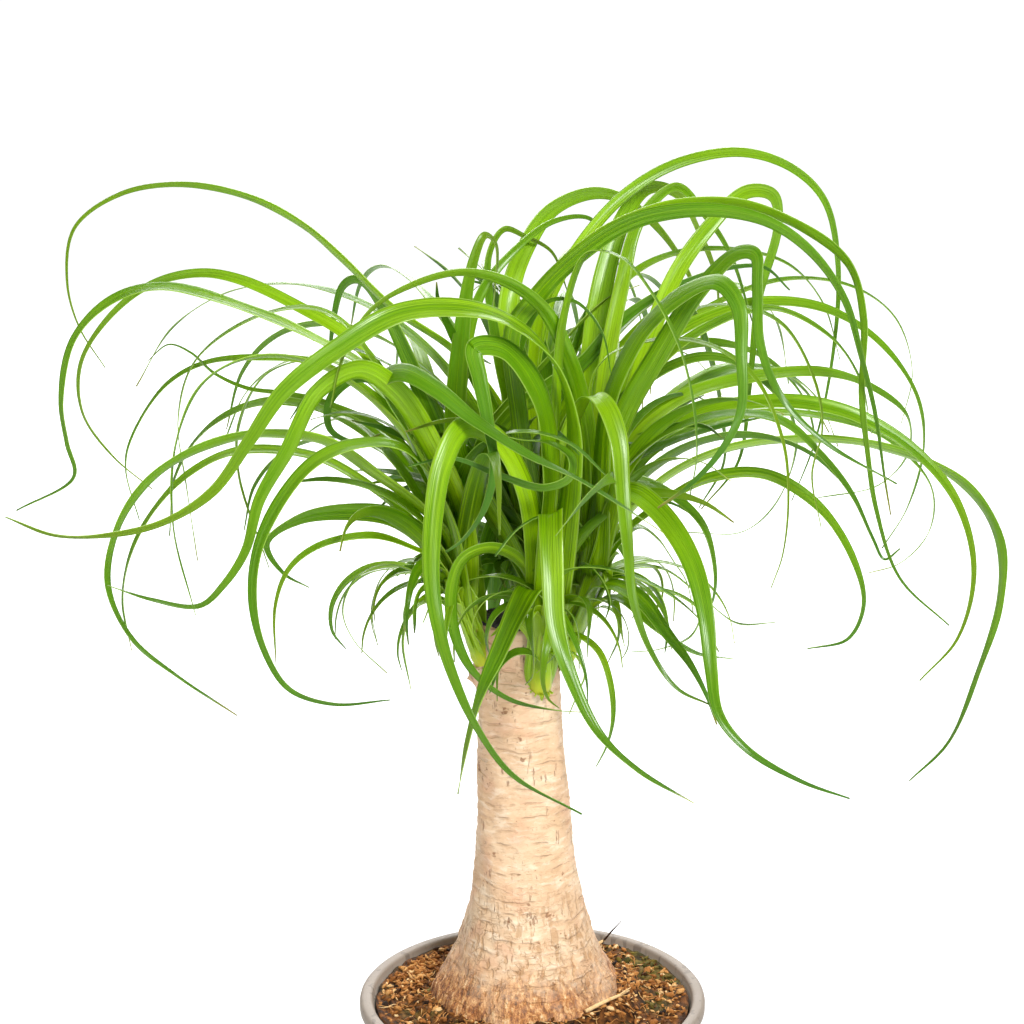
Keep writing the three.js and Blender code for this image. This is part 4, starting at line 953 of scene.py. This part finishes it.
def make_soil():
    """The soil that fills the pot, with chips, strands and moss threads strewn over it."""
    draw = random.Random(SOIL_SEED)
    edge = POT_MOUTH - SOIL_GAP
    profile = [(0, POT_WALL + 0.5), (POT_BASE - POT_WALL - 6, POT_WALL + 0.5), (POT_BASE - POT_WALL, 12)]
    profile += [(POT_BASE + 12.6, 90), (edge - 1.6, 150), (edge - 1.2, SOIL_LEVEL - 3)]
    profile += [(edge - 1.2 - step * 2.1, SOIL_LEVEL) for step in range(26)]
    profile += [(30, SOIL_LEVEL - SOIL_DEPTH), (0, SOIL_LEVEL - SOIL_DEPTH)]
    bm, layers = soil_shape()
    spun(bm, profile, SOIL_STEPS)
    for vert in bm.verts:
        if vert.co.z > SOIL_LEVEL - 1:
            vert.co.z = soil_height(vert.co.x, vert.co.y)
            vert[layers[0]] = 0.26 + 0.4 * noise.noise(vert.co * 0.5)
            vert[layers[1]] = moss_at(vert.co.x, vert.co.y)
    scatter(bm, add_chip, CHIPS, draw, edge)
    scatter(bm, add_strand, STRANDS, draw, edge)
    scatter(bm, add_tuft, TUFTS, draw, edge)
    finished(bm, "soil_bark_mix", ["soil"], "bark_soil", bark_soil())


def make_litter():
    """A pale forked straw and a thin dark twig with a pale foot, lying in the soil."""
    straw = [(36, -54, 202), (44, -48, 203.6), (52, -39, 203.4), (60, -29, 202.2), (67, -19, 201)]
    fork = [(60, -29, 202.4), (64, -26, 204), (68, -23, 205.4)]
    foot = [(35, 80, 184), (42, 80, 188), (48, 80, 192), (53, 80, 195)]
    twig = [(51, 80, 193), (54, 79.6, 197), (58, 79, 202.5), (60, 78.6, 205), (65, 78, 211)]
    bm, layers = soil_shape()
    for points, radii, tone in (
        (straw, [1.5, 1.45, 1.3, 1.1, 0.6], 1.0),
        (fork, [0.8, 0.6, 0.3], 0.95),
        (foot, [1.5, 1.6, 1.3, 0.9], 1.0),
        (twig, [0.9, 0.75, 0.6, 0.45, 0.25], 0.12),
    ):
        marked(rod(bm, [Vector(point) for point in points], radii), layers, tone)
    finished(bm, "soil_litter", [], "bark_soil", bark_soil())


# ---- leaves -----------------------------------------------------------------------------------
def bent_way(crown, heading, step, climb, fall, bend, veer):
    """A way out of a crown that bends over from its climb to its fall, in degrees, as it veers."""
    point = Vector(crown)
    way = []
    for stage in range(FAN_STEPS):
        share = (stage + 0.5) / FAN_STEPS
        pitch = math.radians(climb + (fall - climb) * share ** bend)
        level = step * math.cos(pitch)
        rise = step * math.sin(pitch)
        point = point + Vector((level * math.cos(heading), level * math.sin(heading), rise))
        heading += veer
        way.append(point)
    return way


def fan_leaves(rule, crown):
    """One fan's leaves, each bending over from its climb to its fall as it draws out."""
    draws = seeded(rule["seed"])

    def between(low, high):
        return low + (high - low) * next(draws)

    leaves = []
    for index in range(rule["count"]):
        spread = (index + between(0.2, 0.8)) / rule["count"]
        first, last = rule["headings"]
        heading = math.radians(first + (last - first) * spread)
        length = between(*rule["length"])
        climb = rule["climb"] - between(0, 8)
        fall = rule["fall"] - between(-18, 18)
        veer = math.radians(between(-7, 7))
        width = rule["width"] * between(0.85, 1.1)
        turn = between(-45, 45)
        way = bent_way(crown, heading, length / FAN_STEPS, climb, fall, rule["bend"], veer)
        leaves.append(leaf(width, turn, 0, *way))
    return leaves


def thicket_leaves(rule, crown, draw):
    """Leaves of a thicket, each with its own length, slopes, bend and turn, drawn at random."""
    count, headings, lengths, width, climb, fall = rule
    leaves = []
    for index in range(count):
        share = (index + draw.uniform(0, 1)) / count
        heading = math.radians(headings[0] + (headings[1] - headings[0]) * share)
        first = climb + draw.uniform(-16, 6)
        last = fall + draw.uniform(-28, 28)
        bend = draw.uniform(0.9, 2.1)
        veer = math.radians(draw.uniform(-15, 15))
        step = draw.uniform(*lengths) / FAN_STEPS
        way = bent_way(crown, heading, step, first, last, bend, veer)
        leaves.append(leaf(width * draw.uniform(0.65, 1.1), draw.uniform(-150, 150), 0, *way))
    return leaves


def rooted(shoot, way, index):
    """A way with its root put before it: inside the stem, on the side that the leaf heads for."""
    height = ROOT_LOW + ROOT_SPAN * (index * GOLDEN % 1)
    root = Vector(shoot["seat"]).lerp(Vector(shoot["crown"]), height)
    aim = way[min(2, len(way) - 1)] - root
    aim.z = 0
    reach = min(shoot["radius"] - ROOT_SINK, aim.length)
    return [root + aim.normalized() * reach, *way]


def swayed(way, lean, sway):
    """Moves a midrib along the lines from the viewpoint, by its lean and its sway."""
    lengths = [0.0]
    for before, after in zip(way, way[1:]):
        lengths.append(lengths[-1] + (after - before).length)
    moved = []
    for point, length in zip(way, lengths):
        share = length / lengths[-1]
        amount = lean * share + sway * smooth(share / 0.35)
        ray = point - VIEWPOINT
        moved.append(point + ray * (amount / ray.y))
    return moved


def sway_of(way, lean, tips):
    """The sway that the solid leaf was given, found by how near a tip would lie to the solid."""
    def miss(sway):
        return round(tips.find(swayed(way, lean, sway)[-1] * MM)[2] / MM, 1)

    return min(SWAYS, key=miss)


def curve_point(way, share):
    """A point of the smooth curve through all points of a way."""
    position = (len(way) - 1) * share
    index = min(int(position), len(way) - 2)
    rest = position - index
    second, third = way[index], way[index + 1]
    first = way[index - 1] if index else second * 2 - third
    fourth = way[index + 2] if index + 2 < len(way) else third * 2 - second
    pairs = ((first, second), (second, third), (third, fourth))
    before, between, after = (max(math.sqrt((end - start).length), 0.0001) for start, end in pairs)
    middle = (third - second) / between
    leave = ((second - first) / before - (third - first) / (before + between) + middle) * between
    reach = (middle - (fourth - second) / (between + after) + (fourth - third) / after) * between
    square = second * -3 + third * 3 - leave * 2 - reach
    cube = second * 2 - third * 2 + leave + reach
    return second + leave * rest + square * rest ** 2 + cube * rest ** 3


def stations_of(way, turn, grain=1.0):
    """Places along a blade, closer where it bends: each with its heading, side, share and run."""
    fine = FINE_STEPS * len(way)
    spots = [curve_point(way, index / fine) for index in range(fine + 1)]
    heads = []
    for index in range(fine + 1):
        heads.append((spots[min(fine, index + 1)] - spots[max(0, index - 1)]).normalized())
    outward = way[min(3, len(way) - 1)] - way[0]
    outward.z = 0
    side = Vector((0, 0, 1)).cross(outward).normalized()
    side = (side - heads[0] * side.dot(heads[0])).normalized()
    runs, bends, sides = [0.0], [0.0], [side]
    for index in range(1, fine + 1):
        side = heads[index - 1].rotation_difference(heads[index]) @ side
        side = (side - heads[index] * side.dot(heads[index])).normalized()
        runs.append(runs[-1] + (spots[index] - spots[index - 1]).length)
        bends.append(bends[-1] + heads[index - 1].angle(heads[index], 0.0))
        sides.append(side)
    early, late = turn if isinstance(turn, tuple) else (0, turn)
    effort = [run / (ROW_RUN * grain) + bend / (ROW_BEND * grain) for run, bend in zip(runs, bends)]
    count = max(10, round(effort[-1]))
    stations = []
    index = 0
    for stop in range(count + 1):
        goal = effort[-1] * stop / count
        while index < fine and effort[index] < goal - 1e-9:
            index += 1
        share = runs[index] / runs[-1]
        angle = early * smooth(share / 0.2) * (1 - share) + late * share
        turned = Matrix.Rotation(math.radians(angle), 3, heads[index]) @ sides[index]
        stations.append((spots[index], heads[index], turned, share, runs[index]))
    return stations


def half_width(width, share):
    """Half the blade's width: a clasping foot, a long even strap and a drawn-out tip."""
    thinning = 1 - 0.3 * smooth((share - 0.5) / 0.35)
    foot = 0.86 + 0.14 * smooth(share / 0.12)
    return 0.5 * width * (0.055 + 0.965 * (1 - share ** 2.1) * thinning) * foot


def blade(bm, layers, stations, width, tone, form=LEAF_FORM):
    """One strap leaf: a grid bent along its midrib and hollowed into a shallow channel."""
    clasp, opening, taper, first_age, last_age = form
    steps = len(stations) - 1
    grid = bmesh.ops.create_grid(bm, x_segments=BLADE_COLUMNS, y_segments=steps, size=1)["verts"]
    share_layer, tone_layer, uv_layer = layers
    for vert in grid:
        across = vert.co.x
        spot, head, side, share, run = stations[round((vert.co.y + 1) / 2 * steps)]
        half = half_width(width, share ** taper)
        hollow = clasp + (1.15 * width - clasp + 4) * smooth(share / opening)
        angle = across * half / hollow
        crease = 0.05 * half * (1 - abs(across)) * smooth(share / 0.1)
        ripple = 0.02 * width * math.sin(run * 0.11 + tone * 40) * across * smooth((share - 0.2) / 0.3)
        up = head.cross(side)
        lift = hollow * (1 - math.cos(angle)) - crease + ripple
        vert.co = spot + side * (hollow * math.sin(angle)) + up * lift
        vert[share_layer] = first_age + (last_age - first_age) * share
        vert[tone_layer] = tone
        for loop in vert.link_loops:
            loop[uv_layer].uv = (across / 2 + 0.5, run * MM)


def leaf_shape():
    """A new bmesh for leaves, with a share of the leaf's length and a tone for each point."""
    bm = bmesh.new()
    marks = [bm.verts.layers.float.new(name) for name in ("share", "tone")]
    return bm, [*marks, bm.loops.layers.uv.new("Blade")]


def stem(shoot):
    """The stout pale core of a shoot: a rounded yellow foot that narrows into its crown."""
    seat, crown = Vector(shoot["seat"]), Vector(shoot["crown"])
    length = (crown - seat).length
    radius = shoot["radius"]
    bm, layers = leaf_shape()
    profile = [(0, -5), (radius * 0.4, -4.4), (radius * 0.58, -2.6), (radius * 0.7, 0.5)]
    for row in range(STEM_ROWS):
        share = row / (STEM_ROWS - 1)
        profile.append((radius * (0.74 - 0.34 * smooth(share * 1.2)), 4 + length * share))
    profile.append((0, length + 7))
    spun(bm, profile, STEM_STEPS)
    for vert in bm.verts:
        angle = math.atan2(vert.co.y, vert.co.x)
        spoke = Vector((vert.co.x, vert.co.y, 0))
        if spoke.length > 0.1:
            vert.co += spoke.normalized() * ((angle / math.pi * 1.5 + vert.co.z / 11) % 1) * 0.9
        vert[layers[0]] = 0.07 * max(0.0, vert.co.z) / length
        vert[layers[1]] = 0.5
        for loop in vert.link_loops:
            loop[layers[2]].uv = (angle / math.pi / 2 + 0.5, vert.co.z * MM + 0.04)
    turn = (crown - seat).to_track_quat("Z", "Y").to_matrix().to_4x4()
    bmesh.ops.transform(bm, matrix=Matrix.Translation(seat) @ turn, verts=bm.verts)
    return bm


def sheathe(bm, layers, shoot, draw):
    """Pale leaf sheaths that clasp a shoot's stem, and a frayed dry collar round its foot."""
    seat, crown = Vector(shoot["seat"]), Vector(shoot["crown"])
    axis = (crown - seat).normalized()
    length = (crown - seat).length
    across = axis.cross(Vector((0, 1, 0))).normalized()
    radius = shoot["radius"]
    for index in range(SHEATHS):
        spoke = Matrix.Rotation(math.radians(index * SHEATH_TURN + 20), 3, axis) @ across
        base = seat + axis * (length * 0.05 * index - 3)
        stand = radius * (0.68 - 0.012 * index)
        tight = index < TIGHT_SHEATHS
        hug = draw.uniform(46, 62) if tight else draw.uniform(18, 28) + index
        reach = draw.uniform(1, 5) if tight else draw.uniform(14, 34)
        veer = spoke.cross(axis) * draw.uniform(-8, 8)
        tip = base + axis * hug * 1.5 + spoke * (stand + reach) + veer
        way = [
            base + spoke * stand * 0.6,
            base + axis * hug * 0.25 + spoke * stand,
            base + axis * hug * 0.7 + spoke * stand * 0.95,
            base + axis * hug * 1.15 + spoke * (stand + reach * 0.12),
            base + axis * hug * 1.5 + spoke * (stand + reach * 0.5) + veer * 0.4,
            tip - Vector((0, 0, reach * draw.uniform(0.1, 0.8))),
        ]
        stations = stations_of(way, draw.uniform(-60, 60), 0.7)
        blade(bm, layers, stations, draw.uniform(9, 13), draw.uniform(0.2, 0.9), SHEATH_FORM)
    for index in range(FRAYS):
        spoke = Matrix.Rotation(math.radians(index * 97 + draw.uniform(-20, 20)), 3, axis) @ across
        base = seat - axis * draw.uniform(0, 4)
        reach = draw.uniform(0.5, 4)
        way = [
            base + spoke * radius * 0.5, base + spoke * (radius * 0.7) - axis * 0.5,
            base + spoke * (radius * 0.75 + reach * 0.4) - axis * draw.uniform(0, 2),
            base + spoke * (radius * 0.7 + reach * 0.7) - axis * draw.uniform(0, 4),
        ]
        form = draw.choice([PALE_FRAY, PALE_FRAY, DRY_FRAY])
        stations = stations_of(way, draw.uniform(-60, 60), 1.2)
        blade(bm, layers, stations, draw.uniform(1.6, 3.6), 0.97, form)


def leaf_green(name, deep, middle, light):
    """Glossy strap leaf: fine long veins, pale margins, yellow foot, blue-green thin tip."""
    green = Finish(name)
    spot = green.place()
    across, run, _ = green.parts(green.node("ShaderNodeUVMap", {"uv_map": "Blade"}))
    share = green.attribute("share")
    tone = green.attribute("tone")
    veins = green.noise(green.joined(across * 34, run * 5, tone * 60), 1, 3, 0.65)
    broad = green.noise(green.joined(across * 6, run * 5, tone * 90), 1, 2, 0.5)
    clouds = green.noise(spot, 13, 3, 0.5)
    edge = (across - 0.5).size()
    margin = edge.step(0.462, 0.49)
    midrib = edge.step(0.035, 0.0)
    # A leaf's set tone is partly painted light and shade; clouds and broad add random lighter and darker
    # stretches.
    shade = tone * 0.85 + (clouds - 0.5) * 0.9 + (broad - 0.5) * 0.9 + 0.3
    body = green.ramp(shade, (0.12, deep), (0.9, light), (0.5, middle))
    body = green.mix(veins.step(0.52, 0.6) * 0.74, body, colour(light))
    body = green.mix(veins.step(0.48, 0.38) * 0.8, body, colour(deep))
    body = green.mix(midrib * 0.25, body, colour(light))
    body = green.mix(share.step(0.25, 0.7) * 0.64, body, colour("3F7C10"))
    foot = share.step(0.15, 0.0)
    body = green.mix(foot * 0.8, body, colour("A8D022"))
    body = green.mix(share.step(0.024, 0.0) * 0.75, body, colour("DCD83C"))
    tip = share.step(0.68, 0.95)
    body = green.mix(tip * 0.55, body, colour("2C6430"))
    turning = (tone * 5).rest().step(0.55, 0.8) * share.step(0.55, 0.95)
    body = green.mix(turning * 0.5, body, colour("9AAC14"))
    dry = (tone * 7).rest().step(0.55, 0.75) * share.step(0.95, 0.995)
    body = green.mix(dry * 0.8, body, colour("A08A3C"))
    body = green.mix(margin * 0.45, body, colour("C2DC6C"))
    bump = green.bump(veins + broad * 0.5 - midrib * 0.25, 0.9, 0.0008)
    gloss = green.noise(spot, 30, 2, 0.5) * 0.12 + veins * 0.14 + 0.24
    wax = veins.step(0.36, 0.6) * broad.step(0.34, 0.56)
    skin = green.skin(
        base_color=body, roughness=gloss, normal=bump, specular_ior_level=0.4,
        specular_tint=(0.85, 1, 0.35, 1), coat_weight=wax, coat_roughness=0.26,
    )
    glow = green.mix(0.55, body, colour("B4E000"))
    through = green.node("ShaderNodeBsdfTranslucent", None, {"Color": glow, "Normal": bump})
    return green.done(green.node("ShaderNodeMixShader", None, {0: 0.4, 1: skin, 2: through}))


def make_shoot(name, finish, seed):
    """One shoot: its stem, the leaves that have a solid, its sheaths, and the leaves that have none."""
    shoot = SHOOTS[name]
    draw = random.Random(seed)
    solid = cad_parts["shoot_" + name].data
    tips = KDTree(len(solid.vertices))
    for index, vert in enumerate(solid.vertices):
        tips.insert(vert.co, index)
    tips.balance()
    bm, layers = leaf_shape()
    add_shape(bm, stem(shoot))
    leaves = list(shoot["leaves"])
    for rule in FANS[name]:
        leaves += fan_leaves(rule, shoot["crown"])
    for index, one in enumerate(leaves):
        way = rooted(shoot, one["way"], index)
        sway = sway_of(way, one["lean"], tips)
        stations = stations_of(swayed(way, one["lean"], sway), one["turn"])
        tone = draw.random()
        blade(bm, layers, stations, one["width"], tone if one["tone"] is None else one["tone"])
    sheathe(bm, layers, shoot, draw)
    for index, one in enumerate(EXTRA_LEAVES.get(name, [])):
        stations = stations_of(rooted(shoot, one["way"], index), one["turn"])
        blade(bm, layers, stations, one["width"], one["tone"])
    for *rule, tone in THICKETS[name]:
        for index, one in enumerate(thicket_leaves(rule, shoot["crown"], draw)):
            stations = stations_of(rooted(shoot, one["way"], index), one["turn"], COARSE)
            blade(bm, layers, stations, one["width"], tone + draw.uniform(-0.3, 0.3))
    piece = finished(bm, name + "_shoot_leaves", ["shoot_" + name], "leaf", finish)
    shell = piece.modifiers.new("thickness", "SOLIDIFY")
    shell.thickness = BLADE_THICKNESS * MM
    shell.offset = 0


# ---- stage, in metres -------------------------------------------------------------------------
FLOOR_REACH = 14
SKY_STRENGTH = 0.4
LAMP_TARGET = Vector((0, 0, 0.45))
# Each soft lamp's name, place, size and power in watts.
LAMPS = [
    ("key", (0.9, -2.1, 2.3), 0.8, 120),
    ("fill", (-1.9, -1.3, 1.5), 1.6, 8),
    ("back", (0.0, 2.3, 1.7), 2.2, 125),
]
CAMERA_PLACE = (-0.0143, -2.0566, 1.1515)
CAMERA_TILT = 73.5
LENS_LENGTH = 112.5
SENSOR_WIDTH = 36


def make_floor():
    """A pale floor with a light of its own, so that it stays even under the plant."""
    bm = bmesh.new()
    bmesh.ops.create_grid(bm, x_segments=2, y_segments=2, size=FLOOR_REACH)
    mesh = bpy.data.meshes.new("floor")
    bm.to_mesh(mesh)
    bm.free()
    floor = bpy.data.objects.new("floor", mesh)
    bpy.context.scene.collection.objects.link(floor)
    paint = Finish("pale_floor")
    white = paint.skin(
        base_color=(0.32, 0.32, 0.32, 1), roughness=0.9, emission_color=(1, 1, 1, 1), emission_strength=0.9,
    )
    mesh.materials.append(paint.done(white))


def make_lights():
    """An even white sky and three soft lamps."""
    world = bpy.data.worlds.new("studio")
    bpy.context.scene.world = world
    world.use_nodes = True
    sky = world.node_tree.nodes["Background"].inputs
    sky["Color"].default_value = (1, 1, 1, 1)
    sky["Strength"].default_value = SKY_STRENGTH
    for name, spot, size, power in LAMPS:
        light = bpy.data.lights.new(name, "AREA")
        light.energy = power
        light.size = size
        lamp = bpy.data.objects.new(name, light)
        lamp.location = spot
        lamp.rotation_euler = (LAMP_TARGET - Vector(spot)).to_track_quat("-Z", "Y").to_euler()
        bpy.context.scene.collection.objects.link(lamp)


def make_camera():
    """A long lens in front of the plant, looking a little down."""
    lens = bpy.data.cameras.new("camera")
    lens.lens = LENS_LENGTH
    lens.sensor_width = SENSOR_WIDTH
    camera = bpy.data.objects.new("camera", lens)
    camera.location = CAMERA_PLACE
    camera.rotation_euler = (math.radians(CAMERA_TILT), 0, 0)
    bpy.context.scene.collection.objects.link(camera)
    bpy.context.scene.camera = camera
    bpy.context.scene.view_settings.view_transform = "Standard"


make_floor()
make_lights()
make_camera()
make_pot()
make_cane()
make_soil()
make_litter()
leaf_finish = leaf_green("strap_leaf_green", deep="3C6402", middle="78A802", light="B4DC06")
for order, shoot_name in enumerate(SHOOTS):
    make_shoot(shoot_name, leaf_finish, SHOOT_SEED + order)
